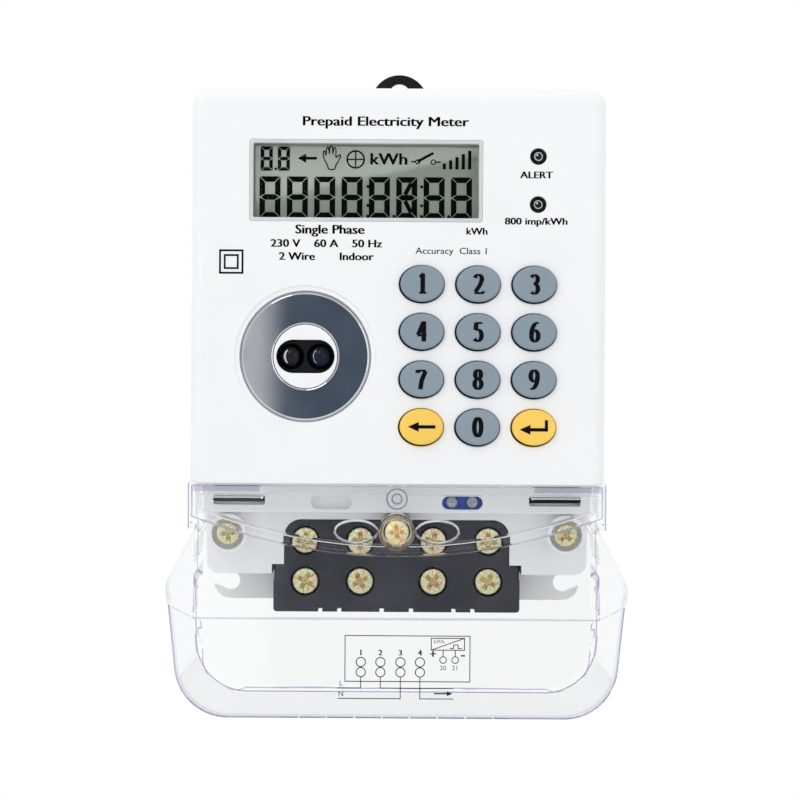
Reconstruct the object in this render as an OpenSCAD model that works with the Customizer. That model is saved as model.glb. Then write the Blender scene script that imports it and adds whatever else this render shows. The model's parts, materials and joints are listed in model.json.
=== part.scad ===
// Prepaid electricity meter: wall-hung case, keypad, display, optical port and a clear terminal cover.
// +Z is up, the front faces -Y and the flat back lies on y = 0. Heights above the back are called depths.

/* [Case] */
// Width of the case
body_w = 92.4; // [88:0.2:96]
// Height of the case top above the origin
body_top = 64; // [60:0.5:70]
// Height of the front face's lower edge (below the origin)
face_low = -24.2; // [-26:0.1:-23]
// Depth of the whole meter, from the back to the front face
body_depth = 58; // [56:0.5:62]
// Depth of the seam between the base case and the front cover
seam_depth = 30; // [30:0.5:31]
// Wall of the two case shells
case_wall = 2.2; // [1.8:0.1:2.6]
// Radius of the case's top corners, seen from the front
corner_r = 4; // [3:0.5:6]
// Radius of the soft edge round the front face
edge_r = 3; // [1:0.5:3]

/* [Display] */
// Width of the display window
window_w = 51.8; // [48:0.2:52]
// Height of the display window
window_h = 18.1; // [16:0.1:19]
// Sideways place of the window's centre
window_x = -7.3; // [-9:0.1:-6]
// Height of the window's centre
window_z = 43.2; // [41:0.1:45]

/* [Indicator lamps] */
// Sideways place of the two lamps
lamp_x = 31; // [29:0.5:33]
// Height of the alarm lamp
alarm_z = 48.8; // [46:0.1:52]
// Height of the pulse lamp
pulse_z = 38.1; // [36:0.1:42]
// Diameter of a lamp's lens
lamp_d = 3.3; // [3:0.1:3.4]

/* [Optical port] */
// Sideways place of the port's centre
port_x = -20.6; // [-22:0.1:-19]
// Height of the port's centre
port_z = 4; // [0:0.1:6]
// Diameter of the recess that centres a reading head
port_d = 32; // [31:0.1:33]
// Outer diameter of the steel ring that the reading head's magnet holds to
ring_d = 28.8; // [27:0.1:30]
// Inner diameter of the steel ring
ring_bore_d = 14.5; // [14:0.1:16]
// Distance between the emitter and the receiver
eye_pitch = 6.5; // [6:0.1:7]

/* [Keypad] */
// Sideways place of the first key column
key_x = 5.2; // [4.5:0.1:6]
// Height of the top key row
key_z = 20.2; // [19:0.1:21]
// Distance between key columns
key_pitch_x = 12.5; // [12.4:0.1:12.8]
// Distance between key rows
key_pitch_z = 10.6; // [10.5:0.1:10.8]
// Width of a key cap
key_w = 9.7; // [9.4:0.1:10.3]
// Height of a key cap
key_h = 8; // [7.8:0.1:8.6]
// How far a key goes in
key_travel = 1.2; // [0.8:0.1:1.2]

/* [Terminals] */
// Distance from the middle to the inner terminals
terminal_in = 8.4; // [8:0.1:9]
// Distance from the middle to the outer terminals
terminal_out = 21.1; // [20.5:0.1:21.2]
// Height of the upper row of terminal screws
screw_row_top = -38.3; // [-39:0.1:-38]
// Height of the lower row of terminal screws
screw_row_low = -47.7; // [-48.5:0.1:-47]
// Diameter of the cable bore in a terminal sleeve
cable_bore_d = 6.8; // [6:0.1:7]
// Diameter of a terminal screw's head
terminal_head_d = 6.2; // [5.6:0.1:6.4]

/* [Terminal cover] */
// Lowest point of the clear cover
cover_low = -83; // [-90:1:-80]
// Widest half-width of the clear cover, at its rear rim
cover_half_w = 55.9; // [54:0.1:58]
// Wall of the clear cover
cover_wall = 2; // [1.6:0.1:2.2]
// Height of the cover screw
cover_screw_z = -35.1; // [-35.5:0.1:-34.8]

/* [Fixings] */
// Height of the hanger's eye above the origin
hanger_eye_z = 67.7; // [67:0.1:69]
// Diameter of the hanger's eye
hanger_eye_d = 5; // [4:0.1:5.5]
// Distance between the two lower fixing slots
slot_spacing = 80; // [76:0.5:82]
// Sideways distance from the middle to a case screw
case_screw_x = 38.8; // [38:0.1:39]

/* [Hidden] */
$fn = 48;

fit_gap = 0.2;      // between pieces that don't move on each other
move_gap = 0.35;    // between pieces that do
overlap = 1;        // how far a cut runs past the face it opens
corner_steps = 7;

front_wall = 2.4;
face_back = body_depth - front_wall;
body_half = body_w / 2;

// The ledge under the front face, and the shelf below that
ledge_half = 43.9;
ledge_low = -31.2;
ledge_depth = 46;
shelf_low = -46;
shelf_depth = 33;
shelf_floor = 30.6;
foot_low = -54;
foot_thick = 3;
boss_d = 9.15;
boss_well_d = 7.3;
boss_top = 36.6;
boss_floor = 33.4;
case_screw_z = -36.6;
case_screw_seat_r = 2;
case_pillar_r = 4;
case_pilot_r = 1.8;
case_head_d = 5.4;
case_head_h = 2.2;
case_shank_d = 3.5;
case_screw_tip = 12;

// Slanted slots for the two lower wall screws
fixing_z = -49.7;
fixing_r = 2.3;
fixing_tilt = 23;
fixing_run = 12;

// Pill-shaped and slot-shaped openings in the ledge
pill_z = -28.9;
pill_h = 3;
pill_w = 9.2;
pill_x = 14.8;
pulse_half = 4.9;
pulse_low = -30.6;
pulse_back = 31;
pulse_front = 43.7;
pulse_rise = 6.9;
pulse_screw_x = 2.3;
pulse_hole_r = 1.3;
slit_x = 35.7;
slit_w = 11.6;
slit_h = 2;
slit_z = -28.5;

// Boards
front_board_back = 46.4;
front_board_front = 48;
main_board_back = 26;
main_board_front = 27.6;
board_half = 41.5;
board_post_xs = [-39.6, 39.6];
front_post_zs = [57, -17];
main_post_zs = [55, -15];
front_post_r = 2.4;
front_pilot_r = 1.1;
main_post_r = 2.8;
main_pilot_r = 1.05;
board_hole_r = 1.4;
lead_half = 0.25;
lead_hole_half = 0.35;

// Display: glass, its holder and the row of pins under it
lcd_half_w = 26;
lcd_half_h = 10;
lcd_back = 51;
lcd_front = 53.8;
lcd_holder_half_w = 27.6;
lcd_holder_below = 11;
lcd_holder_above = 11.4;
lcd_holder_front = 52.4;
lcd_pin_pitch = 2;
lcd_pins_each_side = 12;
lcd_pin_low = 11.8;
lcd_pin_high = 11.3;
window_flange_x = 1.6;
window_flange_z = 1.4;

// Lamps and the optical port's two eyes
lamp_back = 51;
lamp_rim = 0.3;
lamp_crown = 1.2;
lamp_lead_x = 0.9;
port_recess = 1.6;
port_holder_margin = 6.3;
port_holder_h = 7.2;
eye_r = 2.5;
eye_hole_r = 2.6;
eye_back = 49;
eye_crown = 0.9;
eye_lead_x = 1.27;

// Keys, their mat and the contacts under them
key_rise = 0.9;
key_crown = 1.3;
key_crown_inset = 1.2;
key_flange_w = 1.7;
key_flange_h = 1.5;
key_stem_r = 3;
mat_thick = 1.2;
mat_margin_x = 6.6;
mat_margin_z = 5.6;
mat_hole_r = 3.5;
contact_r = 2.4;

// Places of the parts on the boards, each [left, right, low, high]
header_place = [-37, -33, 18, 44];
chip_places = [[-8, 4, -2, 10], [-22, -15, 22, 28], [10, 18, 22, 29]];
chip_heights = [1.8, 1.6, 1.6];
relay_place = [-33, 5, -13, 17.5];
mains_capacitor_place = [16, 34, -8, 0.5];
transformer_core_place = [10, 32, 34, 52];
transformer_coil_place = [14, 28, 31, 55];
shunt_pads = [[-26, -22], [-17, -14]];
shunt_bridge = [-23, -16];

// Terminal block
block_half = 25.8;
block_foot_half = 28.6;
block_top = -33.6;
block_low = -54.7;
block_step_z = -44;
block_depth = 33;
block_step_depth = 24;
block_corner_r = 3.9;
block_wing = 2.6;
block_notch = 2.1;
block_wing_top = -47.4;
block_rib_xs = [-17.6, -13.2, -3.4, 3.4, 13.2, 17.6];
post_r = 3.6;
post_top = 40;
insert_r = 2.5;
sleeve_w = 8.4;
sleeve_top = -35.2;
sleeve_low = -54.2;
sleeve_back = 9;
sleeve_front = 22;
sleeve_bore_depth = 14.2;
sleeve_thread_r = 2.55;
terminal_tip = 18.4;
terminal_seat = 28.2;
terminal_head_top = 32.2;
strap_half = 3.4;
strap_back = 18.8;
strap_front = 20.6;
terminal_xs = [-terminal_out, -terminal_in, terminal_in, terminal_out];

// Clear cover
band_half = 45.9;
band_top = -24.6;
band_low = -40.5;
band_arc_r = 125;
cover_depth = 44;
cover_rear = 4;
crease_z = -55.5;
crease_step = 0.4;
flare_top = -35;
cover_side_wall = 1.5;
tub_crease_half = 46.3;
tub_low = -72.8;
tub_corner_r = 12.3;
rim_widest_z = -50.7;
rim_widest_r = 8;
rim_foot_half = 52.5;
rim_corner_r = 13.4;
seal_z = -27.6;
seal_r = 2.45;
seal_hole_r = 0.9;
knockouts = 8;
knockout_first_x = -23.4;
knockout_pitch = 6.686;
knockout_half = 0.25;
knockout_deep = 1.2;
collar_half = 47.6;
cover_boss_d = 8.2;
cover_boss_back = 40.4;
cover_column_r = 3.4;
cover_head_seat = 53;
cover_head_r = 3.1;
cover_shank_r = 2.15;

// Hanger
hanger_half = 6.86;
hanger_back = 1.3;
hanger_front = 3;
hanger_low = 30;
hanger_head_z = 65.5;
hanger_travel = 12;
guide_wall = 2.2;
guide_lid = 1.6;
guide_slot_half = 5;

// Corner arc of a rounded polygon: from edge a-p to edge p-b with radius r
function unit(v) = v / norm(v);
function corner_arc(a, p, b, r) =
    let (u = unit(a - p), v = unit(b - p), half = acos(u * v) / 2, m = unit(u + v))
    let (c = p + m * r / sin(half), s = p + u * r / tan(half) - c, e = p + v * r / tan(half) - c)
    let (span = acos(min(1, max(-1, unit(s) * unit(e)))))
    [for (i = [0 : corner_steps])
        c + (s * sin(span * (1 - i / corner_steps)) + e * sin(span * i / corner_steps)) / sin(span)];

// Polygon with each corner [x, z, radius] rounded; a radius of 0 keeps the corner sharp
function rounded(corners) =
    let (n = len(corners))
    [for (i = [0 : n - 1])
        let (p = corners[i], a = corners[(i + n - 1) % n], b = corners[(i + 1) % n])
        each p[2] == 0 ? [[p[0], p[1]]]
            : corner_arc([a[0], a[1]], [p[0], p[1]], [b[0], b[1]], p[2])];

function rounded_box(x0, z0, x1, z1, r_low, r_top) =
    rounded([[x0, z0, r_low], [x1, z0, r_low], [x1, z1, r_top], [x0, z1, r_top]]);

function ellipse(w, h, steps = 40) =
    [for (i = [0 : steps - 1]) [w / 2 * cos(360 * i / steps), h / 2 * sin(360 * i / steps)]];

// Gives a flat shape, drawn in X and Z, a body from one depth to another
module slab(back, front) {
    translate([0, -back, 0])
        rotate([90, 0, 0])
            linear_extrude(front - back)
                children();
}

module box(x0, x1, z0, z1, back, front) {
    translate([x0, -front, z0])
        cube([x1 - x0, front - back, z1 - z0]);
}

// A round bar or hole along Y
module bar(x, z, r, back, front) {
    translate([x, -back, z])
        rotate([90, 0, 0])
            cylinder(r = r, h = front - back);
}

// A square-cornered part at a place [left, right, low, high]
module block_at(place, back, front) {
    box(place[0], place[1], place[2], place[3], back, front);
}

// A square pin or pin hole along Y
module pin(x, z, half, back, front) {
    box(x - half, x + half, z - half, z + half, back, front);
}

module mirrored() {
    children();
    mirror([1, 0, 0]) children();
}

module at(x, z) {
    translate([x, 0, z]) children();
}

// Screw along Y with its head at the front: the head has a cross recess
module cross_screw(head_d, shank_d, tip, seat, head_top) {
    slot_w = head_d * 0.16;
    slot_l = head_d * 0.62;
    slot_deep = 1.2;
    difference() {
        union() {
            bar(0, 0, head_d / 2, seat, head_top);
            bar(0, 0, shank_d / 2, tip, seat);
        }
        for (turn = [0, 90])
            rotate([0, turn, 0])
                box(-slot_l / 2, slot_l / 2, -slot_w / 2, slot_w / 2,
                    head_top - slot_deep, head_top + overlap);
    }
}

// Front cover

module soft_shell() {
    steps = 6;
    hull() {
        for (i = [0 : steps]) {
            inset = i == 0 ? 0 : edge_r * (1 - cos(90 * i / steps));
            rise = i == 0 ? 0 : edge_r * sin(90 * i / steps);
            depth = i == 0 ? seam_depth : body_depth - edge_r + rise - 0.01;
            slab(depth, depth + 0.01)
                polygon(rounded_box(-body_half + inset, face_low, body_half - inset, body_top - inset,
                                    0.6, max(0.8, corner_r - inset)));
        }
    }
}

module shell_cavity() {
    slab(seam_depth - overlap, face_back)
        polygon(rounded_box(-body_half + case_wall, face_low + case_wall, body_half - case_wall,
                            body_top - case_wall, 0.6, corner_r - 1.5));
    box(-ledge_half + case_wall, ledge_half - case_wall,
        ledge_low + case_wall, face_low + case_wall + overlap,
        seam_depth - overlap, ledge_depth - case_wall);
}

module ledge_and_shelf() {
    box(-ledge_half, ledge_half, ledge_low, face_low, seam_depth, ledge_depth);
    difference() {
        slab(shelf_floor, shelf_depth)
            polygon(rounded([[-ledge_half, shelf_low, 3], [ledge_half, shelf_low, 3],
                             [ledge_half, ledge_low + 0.5, 0], [-ledge_half, ledge_low + 0.5, 0]]));
        slab(shelf_floor - overlap, shelf_depth + overlap)
            polygon(rounded([[-block_half - fit_gap, shelf_low - overlap, 0],
                             [block_half + fit_gap, shelf_low - overlap, 0],
                             [block_half + fit_gap, block_top + fit_gap, 4],
                             [-block_half - fit_gap, block_top + fit_gap, 4]]));
        box(-block_foot_half - fit_gap, block_foot_half + fit_gap,
            shelf_low - overlap, block_step_z + fit_gap, shelf_floor - overlap, shelf_depth + overlap);
        bar(0, cover_screw_z, post_r + fit_gap, shelf_floor - overlap, shelf_depth + overlap);
    }
    mirrored()
        bar(case_screw_x, case_screw_z, boss_d / 2, shelf_floor, boss_top);
}

module front_openings() {
    box(window_x - window_w / 2 - fit_gap / 2, window_x + window_w / 2 + fit_gap / 2,
        window_z - window_h / 2 - fit_gap / 2, window_z + window_h / 2 + fit_gap / 2,
        face_back - overlap, body_depth + overlap);
    for (z = [alarm_z, pulse_z])
        bar(lamp_x, z, lamp_d / 2 + fit_gap, face_back - overlap, body_depth + overlap);
    difference() {
        bar(port_x, port_z, port_d / 2, body_depth - port_recess, body_depth + overlap);
        bar(port_x, port_z, (ring_bore_d - fit_gap) / 2, body_depth - port_recess - overlap,
            body_depth - 0.2);
    }
    at(port_x, port_z)
        slab(face_back - 2 - overlap, body_depth + overlap)
            polygon(pill_outline(eye_pitch + port_holder_margin + fit_gap, port_holder_h + fit_gap));
    for (row = [0 : 3], column = [0 : 2])
        at(key_x + column * key_pitch_x, key_z - row * key_pitch_z)
            slab(face_back - overlap, body_depth + overlap)
                polygon(ellipse(key_w + 2 * move_gap, key_h + 2 * move_gap));
}

function pill_outline(w, h) =
    rounded([[-w / 2, -h / 2, h / 2 - 0.01], [w / 2, -h / 2, h / 2 - 0.01],
             [w / 2, h / 2, h / 2 - 0.01], [-w / 2, h / 2, h / 2 - 0.01]]);

module ledge_openings() {
    // blind place for a second terminal on the left, the fitted terminal's window on the right
    at(-pill_x, pill_z)
        slab(ledge_depth - port_recess, ledge_depth + overlap)
            polygon(pill_outline(pill_w, pill_h));
    at(pill_x, pill_z)
        slab(ledge_depth - case_wall - overlap, ledge_depth + overlap)
            polygon(pill_outline(pill_w, pill_h));
    box(pill_x - pulse_half - 0.15, pill_x + pulse_half + 0.15, pulse_low - 0.1, face_low + case_wall,
        seam_depth - overlap, pulse_front + 0.1);
    mirrored()
        box(slit_x - slit_w / 2, slit_x + slit_w / 2, slit_z - slit_h / 2, slit_z + slit_h / 2,
            ledge_depth - case_wall - overlap, ledge_depth + overlap);
    mirrored() {
        bar(case_screw_x, case_screw_z, boss_well_d / 2, boss_floor, boss_top + overlap);
        bar(case_screw_x, case_screw_z, case_screw_seat_r, shelf_floor - overlap, boss_floor + overlap);
    }
}

module front_cover() {
    color("whitesmoke")
        difference() {
            union() {
                difference() {
                    union() {
                        soft_shell();
                        ledge_and_shelf();
                    }
                    shell_cavity();
                }
                difference() {
                    bar(port_x, port_z, port_d / 2 + port_recess, face_back - 2, face_back + 0.5);
                    box(key_x - key_w, key_x + key_w, -port_d, port_d, face_back - 3, face_back);
                }
                for (x = board_post_xs, z = front_post_zs)
                    bar(x, z, front_post_r, front_board_front, face_back + 0.5);
            }
            front_openings();
            ledge_openings();
            for (x = board_post_xs, z = front_post_zs)
                bar(x, z, front_pilot_r, front_board_front - overlap, face_back - 0.6);
        }
}

// Base case

module base_outer() {
    slab(0, seam_depth)
        polygon(rounded_box(-body_half, face_low, body_half, body_top, 0.6, corner_r));
    slab(0, seam_depth)
        polygon(rounded([[-ledge_half, shelf_low, 3], [ledge_half, shelf_low, 3],
                         [ledge_half, face_low + 0.5, 0], [-ledge_half, face_low + 0.5, 0]]));
    slab(0, foot_thick)
        polygon(rounded([[-ledge_half, foot_low, 4], [ledge_half, foot_low, 4],
                         [ledge_half, shelf_low + 3, 0], [-ledge_half, shelf_low + 3, 0]]));
}

module base_case() {
    pocket_in = block_foot_half + fit_gap + case_wall;
    color("gainsboro")
        difference() {
            union() {
                difference() {
                    base_outer();
                    // electronics bay
                    slab(case_wall, seam_depth + overlap)
                        polygon(rounded_box(-ledge_half + case_wall, ledge_low, ledge_half - case_wall,
                                            body_top - case_wall, 0.6, corner_r - 1.5));
                    slab(case_wall, seam_depth + overlap)
                        polygon(rounded_box(-body_half + case_wall, face_low + case_wall, body_half - case_wall,
                                            body_top - case_wall, 0.6, corner_r - 1.5));
                    // pockets either side of the terminal block
                    mirrored()
                        box(pocket_in, ledge_half - case_wall, shelf_low + case_wall, ledge_low - case_wall,
                            case_wall, seam_depth + overlap);
                }
                mirrored()
                    bar(case_screw_x, case_screw_z, case_pillar_r, case_wall - 0.2, seam_depth);
                for (x = board_post_xs, z = main_post_zs)
                    bar(x, z, main_post_r, case_wall - 0.2, main_board_back);
                // hanger guide
                box(-hanger_half - guide_wall, hanger_half + guide_wall, hanger_low - hanger_travel - 3,
                    body_top - 1, case_wall - 0.2, hanger_front + move_gap + guide_lid);
            }
            // terminal bay, open to the front and below
            box(-block_foot_half - fit_gap, block_foot_half + fit_gap,
                foot_low - overlap, block_top + fit_gap, foot_thick, seam_depth + overlap);
            bar(0, cover_screw_z, post_r + fit_gap, foot_thick, seam_depth + overlap);
            // way through for the straps
            box(-terminal_out - 5, terminal_out + 5, block_top - overlap, ledge_low + overlap, 8, 23);
            // hanger channel with lips that keep the hanger in
            box(-hanger_half - move_gap, hanger_half + move_gap, hanger_low - hanger_travel - 1,
                body_top + overlap, hanger_back - move_gap, hanger_front + move_gap);
            box(-guide_slot_half, guide_slot_half, hanger_low - hanger_travel - 1, body_top + overlap,
                -overlap, hanger_back);
            mirrored()
                bar(case_screw_x, case_screw_z, case_pilot_r, 10, seam_depth + overlap);
            for (x = board_post_xs, z = main_post_zs)
                bar(x, z, main_pilot_r, main_board_back - 8, main_board_back + overlap);
            fixing_slots();
        }
}

// Slanted slots for the two lower wall screws, open at the foot's outer edge
module fixing_slots() {
    mirrored() {
        bar(slot_spacing / 2, fixing_z, fixing_r, -overlap, foot_thick + overlap);
        translate([slot_spacing / 2, 0, fixing_z])
            rotate([0, -fixing_tilt, 0])
                box(0, fixing_run, -fixing_r, fixing_r, -overlap, foot_thick + overlap);
    }
}

module case_gasket() {
    color("dimgray")
        difference() {
            slab(seam_depth - 1.5, seam_depth + 1.2)
                polygon(rounded_box(-body_half + case_wall + fit_gap, face_low + case_wall + fit_gap,
                                    body_half - case_wall - fit_gap, body_top - case_wall - fit_gap, 1, 2.3));
            slab(seam_depth - 3, seam_depth + 3)
                polygon(rounded_box(-body_half + case_wall + 1.5, face_low + case_wall + 1.5,
                                    body_half - case_wall - 1.5, body_top - case_wall - 1.5, 1, 1.5));
        }
}

module case_screws() {
    color("goldenrod")
        mirrored()
            at(case_screw_x, case_screw_z)
                cross_screw(case_head_d, case_shank_d, case_screw_tip, boss_floor, boss_floor + case_head_h);
}

// Display

module display_window() {
    color("lightgray")
        union() {
            box(window_x - window_w / 2, window_x + window_w / 2, window_z - window_h / 2,
                window_z + window_h / 2, face_back - 1, body_depth + 0.1);
            box(window_x - window_w / 2 - window_flange_x, window_x + window_w / 2 + window_flange_x,
                window_z - window_h / 2 - window_flange_z, window_z + window_h / 2 + window_flange_z,
                face_back - 1.4, face_back - 0.2);
        }
}

module lcd_glass() {
    color("darkseagreen")
        box(window_x - lcd_half_w, window_x + lcd_half_w, window_z - lcd_half_h, window_z + lcd_half_h,
            lcd_back, lcd_front);
}

module lcd_holder() {
    color("white")
        difference() {
            box(window_x - lcd_holder_half_w, window_x + lcd_holder_half_w, window_z - lcd_holder_below,
                window_z + lcd_holder_above, front_board_front, lcd_holder_front);
            box(window_x - lcd_half_w - fit_gap, window_x + lcd_half_w + fit_gap,
                window_z - lcd_half_h - fit_gap, window_z + lcd_half_h + fit_gap,
                lcd_back - 0.001, lcd_holder_front + overlap);
        }
}

module lcd_pins() {
    color("silver")
        for (i = [-lcd_pins_each_side : lcd_pins_each_side])
            box(window_x + i * lcd_pin_pitch - lead_half, window_x + i * lcd_pin_pitch + lead_half,
                window_z - lcd_pin_low, window_z - lcd_pin_high, front_board_back - 1.2, lcd_holder_front);
}

// A round lamp on two leads
module lamp(z) {
    union() {
        bar(lamp_x, z, lamp_d / 2, lamp_back + 1, body_depth - lamp_crown);
        translate([lamp_x, -(body_depth - lamp_crown), z]) sphere(d = lamp_d);
        bar(lamp_x, z, lamp_d / 2 + lamp_rim, lamp_back, lamp_back + 1.2);
        for (side = [-1, 1])
            pin(lamp_x + side * lamp_lead_x, z, lead_half, front_board_back - 1, lamp_back + 0.2);
    }
}

module alarm_lamp() {
    color("gray") lamp(alarm_z);
}

module pulse_lamp() {
    color("gray") lamp(pulse_z);
}

// Optical port

module port_ring() {
    color("lightsteelblue")
        difference() {
            bar(port_x, port_z, ring_d / 2, body_depth - port_recess, body_depth - 0.5);
            bar(port_x, port_z, ring_bore_d / 2, body_depth - 3, body_depth + 1);
        }
}

module port_holder() {
    color("black")
        difference() {
            at(port_x, port_z)
                slab(front_board_front, face_back)
                    polygon(pill_outline(eye_pitch + port_holder_margin, port_holder_h));
            for (side = [-1, 1])
                bar(port_x + side * eye_pitch / 2, port_z, eye_hole_r, front_board_front - 1, face_back + 1);
        }
}

module port_eye(side) {
    x = port_x + side * eye_pitch / 2;
    union() {
        bar(x, port_z, eye_r, eye_back, face_back - eye_crown);
        translate([x, -(face_back - eye_crown), port_z]) sphere(r = eye_r);
        for (lead = [-eye_lead_x, eye_lead_x])
            pin(x + lead, port_z, lead_half, front_board_back - 1, eye_back + 0.2);
    }
}

module port_emitter() {
    color("darkslategray") port_eye(-1);
}

module port_receiver() {
    color("midnightblue") port_eye(1);
}

// Keypad

// One key: cap, flange that keeps it in, and the stem that presses its contact
module key(column, row, colour) {
    color(colour)
        at(key_x + column * key_pitch_x, key_z - row * key_pitch_z)
            union() {
                slab(face_back - 1.4, body_depth + key_rise) polygon(ellipse(key_w, key_h));
                hull() {
                    slab(body_depth + key_rise - 0.02, body_depth + key_rise) polygon(ellipse(key_w, key_h));
                    slab(body_depth + key_crown - 0.05, body_depth + key_crown)
                        polygon(ellipse(key_w - key_crown_inset, key_h - key_crown_inset));
                }
                slab(face_back - 1.7, face_back - 0.45)
                    polygon(ellipse(key_w + key_flange_w, key_h + key_flange_h));
                bar(0, 0, key_stem_r, front_board_front + key_travel + 0.5, face_back - 1.6);
            }
}

module keypad_mat() {
    color("darkgray")
        difference() {
            slab(front_board_front, front_board_front + mat_thick)
                polygon(rounded_box(key_x - mat_margin_x, key_z - 3 * key_pitch_z - mat_margin_z,
                                    key_x + 2 * key_pitch_x + mat_margin_x, key_z + mat_margin_z, 1.5, 1.5));
            for (row = [0 : 3], column = [0 : 2])
                bar(key_x + column * key_pitch_x, key_z - row * key_pitch_z, mat_hole_r,
                    front_board_front - 1, front_board_front + 2);
        }
}

module key_contacts() {
    color("gold")
        for (row = [0 : 3], column = [0 : 2])
            bar(key_x + column * key_pitch_x, key_z - row * key_pitch_z, contact_r,
                front_board_front, front_board_front + 0.1);
}

// Circuit boards

module front_board() {
    color("seagreen")
        difference() {
            slab(front_board_back, front_board_front)
                polygon(rounded_box(-board_half, -20.5, board_half, 60, 1, 1));
            for (x = board_post_xs, z = front_post_zs)
                bar(x, z, board_hole_r, front_board_back - 1, front_board_front + 1);
            for (i = [-lcd_pins_each_side : lcd_pins_each_side])
                pin(window_x + i * lcd_pin_pitch, window_z - (lcd_pin_low + lcd_pin_high) / 2, lead_hole_half,
                    front_board_back - 1, front_board_front + 1);
            for (z = [alarm_z, pulse_z], side = [-1, 1])
                pin(lamp_x + side * lamp_lead_x, z, lead_hole_half,
                    front_board_back - 1, front_board_front + 1);
            for (side = [-1, 1], lead = [-eye_lead_x, eye_lead_x])
                pin(port_x + side * eye_pitch / 2 + lead, port_z, lead_hole_half,
                    front_board_back - 1, front_board_front + 1);
        }
}

module main_board() {
    color("darkgreen")
        difference() {
            slab(main_board_back, main_board_front)
                polygon(rounded_box(-board_half, -18, board_half, 58, 1, 1));
            for (x = board_post_xs, z = main_post_zs)
                bar(x, z, board_hole_r, main_board_back - 1, main_board_front + 1);
        }
}

module board_header() {
    color("dimgray")
        block_at(header_place, main_board_front, front_board_back);
}

module board_screws() {
    head_d = 4.4;
    shank_d = 2;
    head_h = 1.6;
    color("silver") {
        for (x = board_post_xs, z = main_post_zs)
            at(x, z)
                cross_screw(head_d, shank_d, main_board_back - 7, main_board_front,
                            main_board_front + head_h);
        for (x = board_post_xs, z = front_post_zs)
            at(x, z)
                mirror([0, 1, 0])
                    cross_screw(head_d, shank_d, -front_board_front - 5, -front_board_back,
                                -front_board_back + head_h);
    }
}

module metering_chips() {
    color("black")
        for (i = [0 : len(chip_places) - 1])
            block_at(chip_places[i], main_board_front, main_board_front + chip_heights[i]);
}

// Parts under the main board

module latching_relay() {
    color("royalblue")
        block_at(relay_place, 5, 21.5);
}

module shunt() {
    color("peru")
        union() {
            for (pad = shunt_pads)
                box(-terminal_in - 3.2, -terminal_in + 3.2, pad[0], pad[1], strap_front, strap_front + 2);
            box(-terminal_in - 1.6, -terminal_in + 1.6, shunt_bridge[0], shunt_bridge[1],
                strap_front + 0.3, strap_front + 1.7);
        }
}

module current_transformer() {
    outer_r = 7.2;
    bore_r = 4.2;
    height = 7;
    color("navy")
        translate([terminal_out, -(strap_back + strap_front) / 2, -27])
            difference() {
                cylinder(r = outer_r, h = height);
                translate([0, 0, -overlap]) cylinder(r = bore_r, h = height + 2 * overlap);
            }
}

module mains_capacitor() {
    color("goldenrod")
        block_at(mains_capacitor_place, main_board_back - 15, main_board_back);
}

module varistor() {
    disc_r = 7;
    thick = 4.5;
    color("steelblue")
        translate([33, -18, 16])
            rotate([0, 90, 0])
                cylinder(r = disc_r, h = thick);
}

module power_transformer() {
    color("khaki")
        union() {
            block_at(transformer_core_place, main_board_back - 15, main_board_back);
            block_at(transformer_coil_place, main_board_back - 12, main_board_back - 4);
        }
}

// Parts on the front of the main board

module smoothing_capacitors() {
    can_r = 4;
    can_h = 12;
    color("black")
        for (z = [44, 53])
            bar(-18, z, can_r, main_board_front, main_board_front + can_h);
}

module backup_battery() {
    cell_r = 7.2;
    cell_long = 25;
    color("darkseagreen")
        translate([-2, -(main_board_front + cell_r + fit_gap), 48])
            rotate([0, 90, 0])
                cylinder(r = cell_r, h = cell_long);
}

module buzzer() {
    x = 32;
    z = 42;
    height = 9.5;
    color("black")
        difference() {
            bar(x, z, 6, main_board_front, main_board_front + height);
            bar(x, z, 1, main_board_front + height - 1.5, main_board_front + height + overlap);
        }
}

// Terminals

module block_solid() {
    wing = block_half + block_wing;
    notch = block_half + block_notch;
    slab(foot_thick, block_step_depth)
        polygon(rounded_box(-block_foot_half, block_low, block_foot_half, block_top, 0.8, 0.8));
    slab(block_step_depth, block_depth)
        polygon(rounded([[-wing, block_low, 0.8], [wing, block_low, 0.8],
                         [wing, block_wing_top, 0], [notch, block_wing_top, 0],
                         [notch, block_step_z, 0], [block_half, block_step_z, 0],
                         [block_half, block_top, block_corner_r], [-block_half, block_top, block_corner_r],
                         [-block_half, block_step_z, 0], [-notch, block_step_z, 0],
                         [-notch, block_wing_top, 0], [-wing, block_wing_top, 0]]));
    bar(0, cover_screw_z, post_r, foot_thick, post_top);
}

module terminal_block() {
    color("#222326")
        difference() {
            block_solid();
            for (x = terminal_xs) {
                box(x - sleeve_w / 2 - 0.1, x + sleeve_w / 2 + 0.1, block_low - overlap, sleeve_top + 0.1,
                    sleeve_back - 0.1, sleeve_front + 0.1);
                box(x - strap_half - 0.3, x + strap_half + 0.3, sleeve_top - overlap, block_top + overlap,
                    strap_back - 0.2, strap_front + 0.2);
                for (z = [screw_row_top, screw_row_low]) {
                    bar(x, z, terminal_head_d / 2 + 0.3, 28, block_depth + overlap);
                    bar(x, z, 2.8, sleeve_front - 1, 29);
                }
            }
            bar(0, cover_screw_z, insert_r, 28, post_top + overlap);
            // finger-safe ribs on the lower face
            for (x = block_rib_xs)
                box(x - 0.5, x + 0.5, block_low - overlap, block_low + 0.9,
                    sleeve_front + 1, block_depth + overlap);
            box(-4.2, 4.2, block_low - overlap, block_step_z - 4, foot_thick - overlap, 18);
        }
}

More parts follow.
